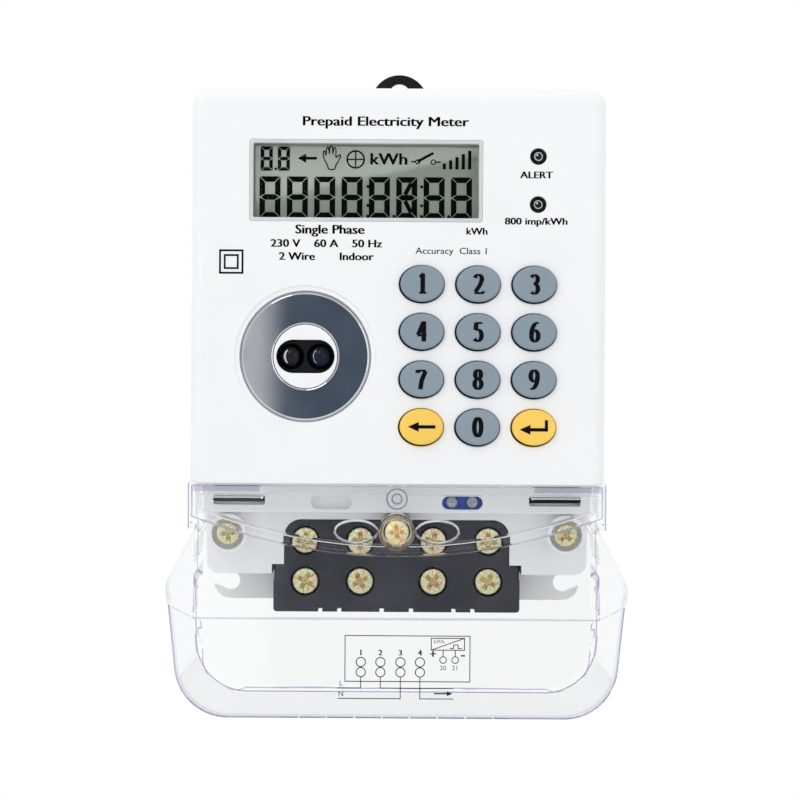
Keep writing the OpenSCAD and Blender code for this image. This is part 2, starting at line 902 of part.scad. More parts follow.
module terminal_sleeves() {
    color("goldenrod")
        for (x = terminal_xs)
            difference() {
                box(x - sleeve_w / 2, x + sleeve_w / 2, sleeve_low, sleeve_top, sleeve_back, sleeve_front);
                translate([x, -sleeve_bore_depth, sleeve_low - 1])
                    cylinder(d = cable_bore_d, h = sleeve_top - sleeve_low + 2);
                for (z = [screw_row_top, screw_row_low])
                    bar(x, z, sleeve_thread_r, sleeve_bore_depth, sleeve_front + 1);
            }
}

module terminal_screws() {
    color("darkkhaki")
        for (x = terminal_xs, z = [screw_row_top, screw_row_low])
            at(x, z) cross_screw(terminal_head_d, 5, terminal_tip, terminal_seat, terminal_head_top);
}

// Copper straps from the sleeves into the electronics bay
module strap(x, top) {
    box(x - strap_half, x + strap_half, sleeve_top, top, strap_back, strap_front);
}

module live_in_strap() {
    color("peru") strap(-terminal_out, -13);
}

module live_out_strap() {
    color("peru") strap(-terminal_in, -13);
}

module neutral_strap() {
    color("peru")
        difference() {
            union() {
                strap(terminal_in, -15);
                strap(terminal_out, -15);
                box(terminal_in, terminal_out, -20, -15, strap_back, strap_front);
            }
            for (side = [-1, 1])
                box(terminal_out + side * strap_half - 0.9, terminal_out + side * strap_half + 0.9, -28, -19,
                    strap_back - 1, strap_front + 1);
        }
}

module pulse_terminal() {
    color("mediumblue")
        difference() {
            box(pill_x - pulse_half, pill_x + pulse_half, pulse_low, pulse_low + pulse_rise,
                pulse_back, pulse_front);
            for (side = [-1, 1])
                bar(pill_x + side * pulse_screw_x, pill_z, pulse_hole_r, 36, ledge_depth + 1);
        }
}

module pulse_screws() {
    color("silver")
        for (side = [-1, 1])
            at(pill_x + side * pulse_screw_x, pill_z)
                cross_screw(2.4, 1.6, 36.4, 41, 42.6);
}

// Terminal cover

function band_outline(half, top, low, steps = 24) =
    let (centre = low + band_arc_r)
    concat([[half, top], [-half, top]],
           [for (i = [0 : steps])
               let (x = -half + 2 * half * i / steps)
               [x, centre - sqrt(band_arc_r * band_arc_r - x * x)]]);

function tub_front(inset) =
    let (half = band_half - inset, low = tub_low + inset, r = tub_corner_r - inset)
    rounded([[-half, flare_top, 0], [-tub_crease_half + inset, crease_z, 0], [-half, low, r],
             [half, low, r], [tub_crease_half - inset, crease_z, 0], [half, flare_top, 0]]);

function tub_rear(inset) =
    let (top = collar_half - inset, widest = cover_half_w - inset, foot = rim_foot_half - inset)
    let (low = cover_low + inset, r_widest = rim_widest_r - inset, r_low = rim_corner_r - inset)
    rounded([[-top, flare_top, 0], [-widest, rim_widest_z, r_widest], [-foot, low, r_low],
             [foot, low, r_low], [widest, rim_widest_z, r_widest], [top, flare_top, 0]]);

// The flared tub below the band; inset 0 is its outside
module tub(inset, front, back) {
    hull() {
        slab(front - 0.01, front) polygon(tub_front(inset));
        slab(back, back + 0.01) polygon(tub_rear(inset));
    }
}

module cover_solid() {
    slab(cover_depth - cover_wall, body_depth)
        polygon(band_outline(band_half, band_top, band_low));
    box(-collar_half, collar_half, flare_top - 0.1, band_top, cover_rear, cover_depth);
    intersection() {
        tub(0, cover_depth, cover_rear);
        box(-90, 90, crease_z, 0, -1, body_depth);
    }
    tub(crease_step, cover_depth - crease_step, cover_rear);
}

module cover_hollow() {
    slab(cover_rear - 1, body_depth - cover_wall)
        polygon(band_outline(band_half - cover_side_wall, band_top - cover_wall, band_low + cover_wall));
    box(-collar_half + cover_wall, collar_half - cover_wall, flare_top - 1, band_top + overlap,
        cover_rear - 1, cover_depth - cover_wall);
    box(-band_half + cover_side_wall, band_half - cover_side_wall, ledge_low, band_top + overlap,
        cover_rear, ledge_depth + 0.6);
    tub(cover_wall, cover_depth - cover_wall, cover_rear - 0.2);
}

module terminal_cover() {
    color("lightcyan", 0.4)
        difference() {
            union() {
                difference() {
                    cover_solid();
                    cover_hollow();
                }
                // screw column and seal boss
                bar(0, cover_screw_z, cover_boss_d / 2, ledge_depth + 0.6, body_depth + 0.6);
                bar(0, cover_screw_z, cover_column_r, cover_boss_back, ledge_depth + 1);
                bar(0, seal_z, seal_r, ledge_depth + 0.8, body_depth);
                // tongues that go into the ledge's slits
                mirrored()
                    box(slit_x - slit_w / 2 + 0.5, slit_x + slit_w / 2 - 0.5, slit_z - 0.6, slit_z + 0.6,
                        ledge_depth - case_wall + 0.2, body_depth - 1);
            }
            bar(0, cover_screw_z, cover_head_r, cover_head_seat, body_depth + overlap);
            bar(0, cover_screw_z, cover_shank_r, cover_boss_back - 1, cover_head_seat + 1);
            bar(0, seal_z, seal_hole_r, ledge_depth + 4, body_depth + overlap);
            // knock-out lines of the cable entries
            for (i = [0 : knockouts - 1])
                let (x = knockout_first_x + i * knockout_pitch)
                    box(x - knockout_half, x + knockout_half, cover_low - 1, cover_low + knockout_deep,
                        cover_rear - 1, 22);
        }
}

module cover_screw() {
    color("gold")
        at(0, cover_screw_z)
            cross_screw(5.3, 3.6, 30.5, cover_head_seat + 0.1, cover_head_seat + 2.4);
}

module cover_insert() {
    color("goldenrod")
        difference() {
            bar(0, cover_screw_z, insert_r, 29, post_top - 0.4);
            bar(0, cover_screw_z, 1.88, 28, post_top + 1);
        }
}

module hanger() {
    color("#1c1c1e")
        difference() {
            union() {
                bar(0, hanger_head_z, hanger_half, hanger_back, hanger_front);
                box(-hanger_half, hanger_half, hanger_low, hanger_head_z, hanger_back, hanger_front);
            }
            bar(0, hanger_eye_z, hanger_eye_d / 2, hanger_back - 1, hanger_front + 1);
        }
}

base_case();
front_cover();
case_gasket();
case_screws();
display_window();
lcd_glass();
lcd_holder();
lcd_pins();
alarm_lamp();
pulse_lamp();
port_ring();
port_holder();
port_emitter();
port_receiver();
keypad_mat();
key_contacts();
key(0, 0, "slategray");  // key_1
key(1, 0, "slategray");  // key_2
key(2, 0, "slategray");  // key_3
key(0, 1, "slategray");  // key_4
key(1, 1, "slategray");  // key_5
key(2, 1, "slategray");  // key_6
key(0, 2, "slategray");  // key_7
key(1, 2, "slategray");  // key_8
key(2, 2, "slategray");  // key_9
key(0, 3, "gold");  // key_back
key(1, 3, "slategray");  // key_0
key(2, 3, "gold");  // key_enter
front_board();
main_board();
board_header();
board_screws();
metering_chips();
latching_relay();
shunt();
current_transformer();
mains_capacitor();
varistor();
power_transformer();
smoothing_capacitors();
backup_battery();
buzzer();
terminal_block();
terminal_sleeves();
terminal_screws();
live_in_strap();
live_out_strap();
neutral_strap();
pulse_terminal();
pulse_screws();
cover_insert();
terminal_cover();
cover_screw();
hanger();
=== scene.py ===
"""The looks of a prepaid electricity meter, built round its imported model.

Sizes are in millimetres, as the meter's maker would give them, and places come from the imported
model's own nodes. A point is given by its sideways place x, its height z and its depth, which is
the distance in front of the wall that the meter's back lies on.
"""

import json
import logging
import math
from collections.abc import Sequence
from dataclasses import dataclass, field
from enum import Enum

import bmesh
import bpy
from mathutils import Matrix, Vector


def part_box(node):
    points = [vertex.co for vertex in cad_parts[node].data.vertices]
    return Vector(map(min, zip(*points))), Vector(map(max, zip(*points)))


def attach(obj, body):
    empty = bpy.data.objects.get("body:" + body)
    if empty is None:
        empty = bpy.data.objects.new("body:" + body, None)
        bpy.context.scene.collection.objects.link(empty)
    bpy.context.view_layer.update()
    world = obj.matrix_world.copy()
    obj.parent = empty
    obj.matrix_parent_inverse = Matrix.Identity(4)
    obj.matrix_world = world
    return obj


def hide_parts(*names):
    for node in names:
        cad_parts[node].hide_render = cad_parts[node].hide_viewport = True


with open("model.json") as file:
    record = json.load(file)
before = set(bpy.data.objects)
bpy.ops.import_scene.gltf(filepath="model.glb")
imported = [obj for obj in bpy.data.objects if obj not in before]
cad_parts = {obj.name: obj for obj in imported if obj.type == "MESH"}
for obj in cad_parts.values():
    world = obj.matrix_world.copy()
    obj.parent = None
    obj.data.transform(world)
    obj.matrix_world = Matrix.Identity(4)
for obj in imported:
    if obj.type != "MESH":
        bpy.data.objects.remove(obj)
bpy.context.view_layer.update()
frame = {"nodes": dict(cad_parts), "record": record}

log = logging.getLogger("meter")

MM = 0.001
CORNER_STEPS = 10
ROUND_STEPS = 72
SIDES = (-1, 1)
FILM = 0.03     # the thickness of a print
CLEAR = 1.0     # how far a cutter runs past the face that it opens
STAGGER = 0.2   # how far apart the ends of cutters that are joined lie
AXIS = 0.01     # the radius of a turned part's pole

Flat = tuple[float, float]
Colour = tuple[float, float, float]
Ring = list[Vector]


# Shader maths


class Value:
    """A node socket that can be used in Python arithmetic."""

    def __init__(self, paint: "Nodes", socket: bpy.types.NodeSocket) -> None:
        """Wraps an output socket of a tree."""
        self.paint = paint
        self.socket = socket

    def _math(self, operation: str, *others: "Value | float", swap: bool = False) -> "Value":
        """Adds a Math node.

        Args:
            operation: The node's operation.
            others: The other operands.
            swap: Whether this value comes second.

        Returns:
            The node's result.
        """
        operands = [self, *others]
        if swap:
            operands.reverse()
        return self.paint.node("ShaderNodeMath", {"operation": operation}, dict(enumerate(operands)))

    def __add__(self, other: "Value | float") -> "Value":
        """Returns self + other."""
        return self._math("ADD", other)

    def __radd__(self, other: float) -> "Value":
        """Returns other + self."""
        return self._math("ADD", other)

    def __sub__(self, other: "Value | float") -> "Value":
        """Returns self - other."""
        return self._math("SUBTRACT", other)

    def __rsub__(self, other: float) -> "Value":
        """Returns other - self."""
        return self._math("SUBTRACT", other, swap=True)

    def __mul__(self, other: "Value | float") -> "Value":
        """Returns self * other."""
        return self._math("MULTIPLY", other)

    def __truediv__(self, other: "Value | float") -> "Value":
        """Returns self / other."""
        return self._math("DIVIDE", other)

    def __pow__(self, other: float) -> "Value":
        """Returns self ** other."""
        return self._math("POWER", other)

    def __gt__(self, other: "Value | float") -> "Value":
        """Returns 1 where self is over other, else 0."""
        return self._math("GREATER_THAN", other)

    def __abs__(self) -> "Value":
        """Returns the value without its sign."""
        return self._math("ABSOLUTE")

    def sine(self) -> "Value":
        """Returns the sine of the value in radians."""
        return self._math("SINE")

    def angle_to(self, other: "Value") -> "Value":
        """Returns the angle of the point (other, self) round the origin."""
        return self._math("ARCTAN2", other)

    def largest(self, other: "Value | float") -> "Value":
        """Returns the larger of the two."""
        return self._math("MAXIMUM", other)

    def within(self, low: float, high: float) -> "Value":
        """Returns how far the value has gone from low to high, kept between 0 and 1."""
        sockets = {"Value": self, "From Min": low, "From Max": high}
        return self.paint.node("ShaderNodeMapRange", {"clamp": True}, sockets)


class Nodes:
    """A shader node tree under construction, with one method that makes any node."""

    def __init__(self, tree: bpy.types.NodeTree) -> None:
        """Starts with a tree, emptied."""
        self.tree = tree
        self.tree.nodes.clear()

    def make(self, kind: str, settings: dict, sockets: dict) -> bpy.types.Node:
        """Makes a node.

        Args:
            kind: The node's type.
            settings: Properties to set first; stops is a ramp's list of places and colours.
            sockets: Values or links by socket name or number.

        Returns:
            The node.
        """
        made = self.tree.nodes.new(kind)
        for name, setting in settings.items():
            if name == "stops":
                self._set_stops(made.color_ramp, setting)
            else:
                setattr(made, name, setting)
        for name, value in sockets.items():
            if isinstance(value, Value):
                self.tree.links.new(value.socket, made.inputs[name])
            else:
                made.inputs[name].default_value = value
        return made

    @staticmethod
    def _set_stops(ramp: bpy.types.ColorRamp, stops: list[tuple[float, Colour]]) -> None:
        """Gives a ramp its colours.

        Args:
            ramp: The ramp.
            stops: The place and colour of each stop.
        """
        while len(ramp.elements) < len(stops):
            ramp.elements.new(0.5)
        for element, (place, colour) in zip(ramp.elements, stops):
            element.position = place
            element.color = (*colour, 1)

    def node(self, kind: str, settings: dict, sockets: dict, output: str | int = 0) -> Value:
        """Makes a node and returns one of its outputs, by name or number."""
        return Value(self, self.make(kind, settings, sockets).outputs[output])

    def axes(self, place: Value) -> tuple[Value, Value, Value]:
        """Returns the x, y and z of a place."""
        split = self.make("ShaderNodeSeparateXYZ", {}, {0: place})
        return tuple(Value(self, split.outputs[i]) for i in range(3))

    def blend(self, factor: Value, low: "Value | Colour", high: "Value | Colour") -> Value:
        """Returns the mix of two colours: low where the factor is 0 and high where it is 1."""
        ends = [end if isinstance(end, Value) else (*end, 1) for end in (low, high)]
        return self.node("ShaderNodeMix", {"data_type": "RGBA"},
                         {0: factor, 6: ends[0], 7: ends[1]}, 2)


class Paint(Nodes):
    """A node material under construction."""

    def __init__(self, name: str) -> None:
        """Starts an empty material.

        Args:
            name: The material's name.
        """
        self.material = bpy.data.materials.new(name)
        self.material.use_nodes = True
        super().__init__(self.material.node_tree)

    def place(self) -> Value:
        """Returns the point's place on the meter, in metres."""
        return self.node("ShaderNodeTexCoord", {}, {}, "Object")

    def noise(self, grain: float, detail: float = 3, place: Value | None = None,
              stretch: tuple[float, float, float] = (1, 1, 1)) -> Value:
        """Adds noise.

        Args:
            grain: The size of a patch, in millimetres.
            detail: How many finer layers it has.
            place: Where it is read, or None for the place on the meter.
            stretch: How many times finer it is along each axis.

        Returns:
            The noise, about 0.5.
        """
        spread = self.node("ShaderNodeMapping", {"vector_type": "POINT"},
                           {"Vector": place or self.place(), "Scale": stretch})
        return self.node("ShaderNodeTexNoise", {}, {"Vector": spread, "Scale": 1 / (grain * MM),
                                                    "Detail": detail})

    def ramp(self, factor: Value, *stops: tuple[float, Colour]) -> Value:
        """Returns a colour read from stops by a factor."""
        return self.node("ShaderNodeValToRGB", {"stops": list(stops)}, {0: factor}, "Color")

    def bump(self, height: Value, depth: float) -> Value:
        """Returns a normal from a height of 0 to 1 and a depth in millimetres."""
        return self.node("ShaderNodeBump", {}, {"Height": height, "Distance": depth * MM,
                                                "Strength": 1.0})

    def finish(self, shader: dict) -> bpy.types.Material:
        """Ends the material with a Principled shader.

        Args:
            shader: The shader's socket values and links.

        Returns:
            The material.
        """
        surface = self.node("ShaderNodeBsdfPrincipled", {}, shader)
        self.make("ShaderNodeOutputMaterial", {}, {"Surface": surface})
        return self.material


# Finishes


@dataclass(frozen=True)
class Moulding:
    """An opaque plastic or rubber moulding with a fine spark-eroded grain."""

    name: str
    colour: Colour
    rough: float = 0.45
    grain: float = 0.35
    bump: float = 0.012
    mottle: float = 0.04
    coat: float = 0.0
    sheen: float = 0.5

    def material(self) -> bpy.types.Material:
        """Makes the finish a material.

        Returns:
            The material.
        """
        paint = Paint(self.name)
        fine = paint.noise(self.grain, 4)
        cloud = paint.noise(14, 2)
        darker = tuple(c * (1 - 2 * self.mottle) for c in self.colour)
        lighter = tuple(min(1, c * (1 + self.mottle)) for c in self.colour)
        colour = paint.blend((fine * 0.4 + cloud * 0.6).within(0.35, 0.65), darker, lighter)
        rough = self.rough - 0.06 + cloud * 0.08 + fine * 0.04
        return paint.finish({"Base Color": colour, "Roughness": rough, "IOR": 1.5,
                             "Specular IOR Level": self.sheen,
                             "Coat Weight": self.coat, "Coat Roughness": 0.15,
                             "Normal": paint.bump(fine, self.bump)})


@dataclass(frozen=True)
class Clear:
    """A clear moulding: polycarbonate or epoxy."""

    name: str
    tint: Colour
    rough: float = 0.02
    ior: float = 1.5
    ripple: float = 0.0
    edge: Colour = (1, 1, 1)
    bounces: int = 4

    def material(self) -> bpy.types.Material:
        """Makes the finish a material.

        Returns:
            The material.
        """
        paint = Paint(self.name)
        wave = paint.noise(9, 1)
        scuff = paint.noise(0.5, 3, stretch=(1, 1, 9)).within(0.62, 0.8)
        facing = paint.node("ShaderNodeLayerWeight", {}, {"Blend": 0.5}, "Facing")
        # Where a wall is seen edge-on, the base colour turns to the edge colour: painted shade along the
        # clear edges.
        sockets = {"Base Color": paint.blend(facing ** 6 * (0.85 + wave * 0.3), self.tint, self.edge),
                   "Roughness": self.rough + scuff * 0.05,
                   "IOR": self.ior, "Transmission Weight": 1.0}
        if self.ripple:
            sockets["Normal"] = paint.bump(wave, self.ripple)
        solid = paint.node("ShaderNodeBsdfPrincipled", {}, sockets)
        open_way = paint.node("ShaderNodeBsdfTransparent", {}, {"Color": (*self.tint, 1)})
        path = paint.make("ShaderNodeLightPath", {}, {})
        shadow, diffuse, depth = (Value(paint, path.outputs[name])
                                  for name in ("Is Shadow Ray", "Is Diffuse Ray", "Ray Depth"))
        passing = shadow.largest(diffuse).largest(depth > self.bounces)
        mixed = paint.node("ShaderNodeMixShader", {}, {0: passing, 1: solid, 2: open_way})
        paint.make("ShaderNodeOutputMaterial", {}, {"Surface": mixed})
        return paint.material


@dataclass(frozen=True)
class Plated:
    """A bare or plated metal with a fine brushed grain along one axis."""

    name: str
    colour: Colour
    second: Colour
    rough: float = 0.25
    stretch: tuple[float, float, float] = (1, 1, 1)
    scratch: float = 0.004

    def material(self) -> bpy.types.Material:
        """Makes the finish a material.

        Returns:
            The material.
        """
        paint = Paint(self.name)
        grain = paint.noise(0.3, 4, stretch=self.stretch)
        cloud = paint.noise(4, 3)
        colour = paint.blend(cloud.within(0.35, 0.65), self.colour, self.second)
        return paint.finish({"Base Color": colour, "Metallic": 1.0,
                             "Roughness": self.rough - 0.08 + grain * 0.16,
                             "Normal": paint.bump(grain, self.scratch)})


@dataclass(frozen=True)
class Passivated:
    """Yellow-passivated zinc on a stamped screw head: straw with pink and green tints, and rays that are
    serrations with a paler painted sheen.
    """

    name: str
    straw: Colour = (0.80, 0.72, 0.42)
    rose: Colour = (0.80, 0.56, 0.42)
    leaf: Colour = (0.66, 0.74, 0.46)
    rays: int = 11

    def material(self) -> bpy.types.Material:
        """Makes the finish a material.

        Returns:
            The material.
        """
        paint = Paint(self.name)
        local = paint.node("ShaderNodeAttribute", {"attribute_name": "screw_place"}, {}, "Vector")
        across, _, up = paint.axes(local)
        angle = up.angle_to(across)
        streak = paint.noise(0.9, 2)
        serration_and_sheen = (angle * self.rays + streak * 5).sine() * 0.5 + 0.5
        tint = paint.noise(2.4, 2)
        colour = paint.ramp(tint, (0.36, self.rose), (0.46, self.straw), (0.54, self.straw),
                            (0.64, self.leaf))
        # The paler straw along the rays is a painted sheen; the same rays are real serrations in the
        # roughness and bump.
        colour = paint.blend(serration_and_sheen * 0.35, colour, (0.95, 0.9, 0.68))
        return paint.finish({"Base Color": colour, "Metallic": 1.0, "Roughness": 0.2 + serration_and_sheen * 0.22,
                             "Normal": paint.bump(serration_and_sheen, 0.05)})


@dataclass(frozen=True)
class PolishedRing:
    """Bright nickel-plated steel, wiped in rings and lightly scratched by reading heads."""

    name: str
    centre: Vector
    colour: Colour = (0.62, 0.64, 0.67)

    def material(self) -> bpy.types.Material:
        """Makes the finish a material.

        Returns:
            The material.
        """
        paint = Paint(self.name)
        place = paint.place()
        centred = paint.node("ShaderNodeVectorMath", {"operation": "SUBTRACT"},
                             {0: place, 1: tuple(self.centre)})
        radius = paint.node("ShaderNodeVectorMath", {"operation": "LENGTH"}, {0: centred}, "Value")
        wiped = (radius * 9000 + paint.noise(6, 2) * 14).sine() * 0.5 + 0.5
        mist = paint.noise(7, 4)
        turned = paint.node("ShaderNodeMapping", {}, {"Vector": place, "Rotation": (0, 0.6, 0),
                                                      "Scale": (1, 1, 0.06)})
        scratch = paint.node("ShaderNodeTexVoronoi", {"feature": "DISTANCE_TO_EDGE"},
                             {"Vector": turned, "Scale": 700})
        line = 1 - scratch.within(0.0, 0.012)
        faint = line * paint.noise(2.5, 1).within(0.62, 0.72)
        colour = paint.blend(mist.within(0.35, 0.7), self.colour, (0.72, 0.73, 0.75))
        return paint.finish({"Base Color": colour, "Metallic": 1.0,
                             "Roughness": 0.02 + mist * 0.025 + faint * 0.1 + wiped * 0.008})


@dataclass(frozen=True)
class DisplayPanel:
    """The grey-green polariser of a liquid crystal display."""

    name: str
    colour: Colour = (0.245, 0.285, 0.235)

    def material(self) -> bpy.types.Material:
        """Makes the finish a material.

        Returns:
            The material.
        """
        paint = Paint(self.name)
        fine = paint.noise(0.25, 2)
        cloud = paint.noise(20, 1)
        lighter = tuple(c * 1.12 for c in self.colour)
        colour = paint.blend(fine * 0.3 + cloud * 0.7, self.colour, lighter)
        return paint.finish({"Base Color": colour, "Roughness": 0.012 + fine * 0.008, "IOR": 1.6,
                             "Specular IOR Level": 0.7})


@dataclass(frozen=True)
class Ink:
    """Printed ink, slightly uneven in cover."""

    name: str
    colour: Colour = (0.003, 0.003, 0.005)
    sheen: float = 0.04

    def material(self) -> bpy.types.Material:
        """Makes the finish a material.

        Returns:
            The material.
        """
        paint = Paint(self.name)
        cover = paint.noise(0.4, 3)
        colour = paint.blend(cover, self.colour, tuple(c * 1.3 + 0.002 for c in self.colour))
        return paint.finish({"Base Color": colour, "Roughness": 0.5 + cover * 0.15,
                             "Specular IOR Level": self.sheen})


@dataclass(frozen=True)
class Laminate:
    """A circuit board: solder resist over copper tracks."""

    name: str
    resist: Colour = (0.012, 0.16, 0.06)
    track: Colour = (0.03, 0.26, 0.1)

    def material(self) -> bpy.types.Material:
        """Makes the finish a material.

        Returns:
            The material.
        """
        paint = Paint(self.name)
        x, _, z = paint.axes(paint.place())
        bend = paint.noise(9, 0)
        across = ((x * 2600 + bend * 9).sine() > 0.55) * (paint.noise(8, 0) > 0.5)
        along = ((z * 2600 + bend * 9).sine() > 0.6) * (paint.noise(11, 0) > 0.5)
        tracks = across.largest(along)
        return paint.finish({"Base Color": paint.blend(tracks, self.resist, self.track),
                             "Roughness": 0.3 + bend * 0.1, "Normal": paint.bump(tracks, 0.03)})


class Finish(Enum):
    """Every finish on the meter, with its maker."""

    CASE_WHITE = Moulding("case_white", (0.86, 0.875, 0.885), 0.42, 0.3, 0.01, 0.008)
    BASE_WHITE = Moulding("base_white", (0.83, 0.84, 0.85), 0.45, 0.3, 0.012, 0.01)
    KEY_GREY = Moulding("key_grey", (0.235, 0.295, 0.35), 0.55, 0.22, 0.01, 0.03)
    KEY_YELLOW = Moulding("key_yellow", (0.93, 0.6, 0.1), 0.55, 0.22, 0.01, 0.03)
    MAT = Moulding("mat_rubber", (0.2, 0.22, 0.25), 0.7)
    GASKET = Moulding("gasket_foam", (0.03, 0.03, 0.032), 0.9, 0.5, 0.1)
    BLACK = Moulding("black_moulding", (0.006, 0.006, 0.008), 0.3, 0.3, 0.012, 0.1, 0.0, 0.15)
    BLOCK = Moulding("block_phenolic", (0.035, 0.036, 0.045), 0.38, 0.5, 0.04, 0.25, 0.0, 0.4)
    CHIP = Moulding("chip_epoxy", (0.02, 0.02, 0.022), 0.5, 0.2, 0.01, 0.1)
    RELAY = Moulding("relay_case", (0.02, 0.07, 0.3), 0.3, coat=0.3)
    PULSE_BLUE = Moulding("pulse_blue", (0.025, 0.07, 0.42), 0.28, coat=0.4)
    FILM_YELLOW = Moulding("film_capacitor", (0.8, 0.5, 0.04), 0.35, coat=0.3)
    SHRINK_GREEN = Moulding("shrink_sleeve", (0.03, 0.2, 0.07), 0.3, coat=0.3)
    LIGHT_GUIDE = Moulding("light_guide", (0.85, 0.85, 0.82), 0.3)
    # The last colour of the cover finishes is a painted edge shade, where a wall is seen edge-on.
    COVER = Clear("cover_polycarbonate", (0.985, 0.987, 0.99), 0.015, 1.5, 0.02, (0.55, 0.56, 0.65))
    # Darker clear for the lines and beads along the cover's outlines: painted shade and painted reflection.
    COVER_EDGE = Clear("cover_edge_painted_shade", (0.7, 0.71, 0.8), 0.05, 1.3, 0.0, (0.6, 0.61, 0.7))
    WINDOW = Clear("window_acrylic", (0.98, 0.99, 0.985), 0.01, 1.06)
    LAMP = Clear("lamp_epoxy", (0.45, 0.46, 0.5), 0.03, 1.5)
    EYE = Moulding("eye_epoxy", (0.002, 0.002, 0.004), 0.05, 0.6, 0.0005, 0.2, 0.0, 0.25)
    EYE_BLUE = Moulding("eye_epoxy_blue", (0.004, 0.008, 0.022), 0.06, 0.6, 0.0005, 0.2, 0.0, 0.2)
    RIM = Moulding("rim_grey", (0.62, 0.64, 0.64), 0.35)
    BRASS = Plated("machined_brass", (0.82, 0.6, 0.26), (0.74, 0.52, 0.22), 0.3, (1, 1, 8))
    COPPER = Plated("strap_copper", (0.8, 0.42, 0.27), (0.68, 0.33, 0.2), 0.3, (8, 1, 1))
    TIN = Plated("tinned_metal", (0.74, 0.74, 0.76), (0.62, 0.62, 0.65), 0.28)
    GOLD = Plated("gold_pads", (0.86, 0.65, 0.28), (0.8, 0.58, 0.24), 0.25)
    ZINC = Passivated("yellow_zinc")
    ZINC_BRIGHT = Passivated("bright_yellow_zinc", (0.93, 0.78, 0.42), (0.85, 0.55, 0.32),
                             (0.8, 0.78, 0.5), 7)
    PANEL = DisplayPanel("display_polariser")
    INK = Ink("black_ink")
    INK_GREY = Ink("grey_ink", (0.02, 0.02, 0.026))
    SEGMENT = Ink("display_segment", (0.001, 0.0015, 0.001), 0.02)
    BOARD = Laminate("board_laminate")


_made: dict[str, bpy.types.Material] = {}


def material_of(finish: "Finish | PolishedRing") -> bpy.types.Material:
    """Gives the material of a finish, which is made the first time that it is asked for.

    Args:
        finish: The finish.

    Returns:
        Its material.
    """
    recipe = finish.value if isinstance(finish, Finish) else finish
    if recipe.name not in _made:
        _made[recipe.name] = recipe.material()
    return _made[recipe.name]


# Outlines


def at(x: float, z: float, depth: float) -> Vector:
    """Returns a place given in millimetres as a point in metres."""
    return Vector((x, -depth, z)) * MM


@dataclass(frozen=True)
class Extent:
    """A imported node's box, in millimetres."""

    left: float
    right: float
    low: float
    high: float
    back: float
    front: float

    @classmethod
    def of(cls, node: str) -> "Extent":
        """Measures a node.

        Args:
            node: The node's name.

        Returns:
            Its box, to the nearest micrometre.
        """
        near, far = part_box(node)
        sides = (near.x, far.x, near.z, far.z, -far.y, -near.y)
        return cls(*(round(side / MM, 3) for side in sides))

    @property
    def centre(self) -> Flat:
        """Returns the x and z of its middle."""
        return round((self.left + self.right) / 2, 3), round((self.low + self.high) / 2, 3)


def corner_arc(before: Flat, corner: Flat, after: Flat, radius: float, steps: int) -> list[Flat]:
    """Rounds one corner of a polygon.

    Args:
        before: The corner before it.
        corner: The corner.
        after: The corner after it.
        radius: The arc's radius.
        steps: How many stretches the arc has.

    Returns:
        The arc's points.
    """
    point = Vector(corner)
    back = (Vector(before) - point).normalized()
    on = (Vector(after) - point).normalized()
    half = back.angle(on) / 2
    centre = point + (back + on).normalized() * radius / math.sin(half)
    first = point + back * radius / math.tan(half) - centre
    last = point + on * radius / math.tan(half) - centre
    span = first.angle(last)
    arc = []
    for i in range(steps + 1):
        share = i / steps
        weight_a = math.sin(span * (1 - share)) / math.sin(span)
        weight_b = math.sin(span * share) / math.sin(span)
        arc.append(tuple(centre + first * weight_a + last * weight_b))
    return arc


def rounded(corners: Sequence[tuple[float, float, float]], steps: int = CORNER_STEPS) -> list[Flat]:
    """Rounds the corners of a polygon.

    Args:
        corners: The x, z and radius of each corner.
        steps: How many stretches each arc has.

    Returns:
        The rounded outline.
    """
    outline = []
    for i, (x, z, radius) in enumerate(corners):
        before = corners[i - 1][:2]
        after = corners[(i + 1) % len(corners)][:2]
        if radius > 0:
            outline += corner_arc(before, (x, z), after, radius, steps)
        else:
            outline.append((x, z))
    return outline


def rounded_box(low: Flat, high: Flat, r_low: float, r_high: float,
                steps: int = CORNER_STEPS) -> list[Flat]:
    """Returns a rectangle with its lower and upper corners rounded."""
    return rounded([(low[0], low[1], r_low), (high[0], low[1], r_low),
                    (high[0], high[1], r_high), (low[0], high[1], r_high)], steps)


def quarter(steps: int) -> list[Flat]:
    """Returns the cosine and sine of each step of a quarter turn."""
    turns = [math.pi / 2 * i / steps for i in range(steps + 1)]
    return [(math.cos(turn), math.sin(turn)) for turn in turns]


def mirrored(corners: Sequence[tuple[float, float, float]]) -> list[tuple[float, float, float]]:
    """Returns corners (x, z, radius) down the left side and then up the right side."""
    return [(-x, z, radius) for x, z, radius in corners] + list(reversed(corners))


def ellipse(centre: Flat, width: float, height: float, steps: int = ROUND_STEPS) -> list[Flat]:
    """Returns an ellipse."""
    turns = [math.tau * i / steps for i in range(steps)]
    return [(centre[0] + width / 2 * math.cos(t), centre[1] + height / 2 * math.sin(t)) for t in turns]


def pill(centre: Flat, width: float, height: float, steps: int = 24) -> list[Flat]:
    """Returns a rectangle with fully round ends.

    Args:
        centre: Its middle.
        width: Its width.
        height: Its height.
        steps: How many stretches each end has.

    Returns:
        The outline.
    """
    x, z = centre
    radius = height / 2
    reach = width / 2 - radius
    outline = []
    for side, start in ((1, -90), (-1, 90)):
        for i in range(steps + 1):
            turn = math.radians(start + 180 * i / steps)
            outline.append((x + side * reach + radius * math.cos(turn), z + radius * math.sin(turn)))
    return outline


def grown(outline: Sequence[Flat], width: float) -> list[Flat]:
    """Moves every side of an anticlockwise outline outwards.

    Args:
        outline: The outline.
        width: How far; a negative width shrinks it.

    Returns:
        The moved outline, with as many points.
    """
    moved = []
    for i, point in enumerate(outline):
        here = Vector(point)
        along = (Vector(outline[(i + 1) % len(outline)]) - Vector(outline[i - 1])).normalized()
        moved.append(tuple(here + Vector((along.y, -along.x)) * width))
    return moved


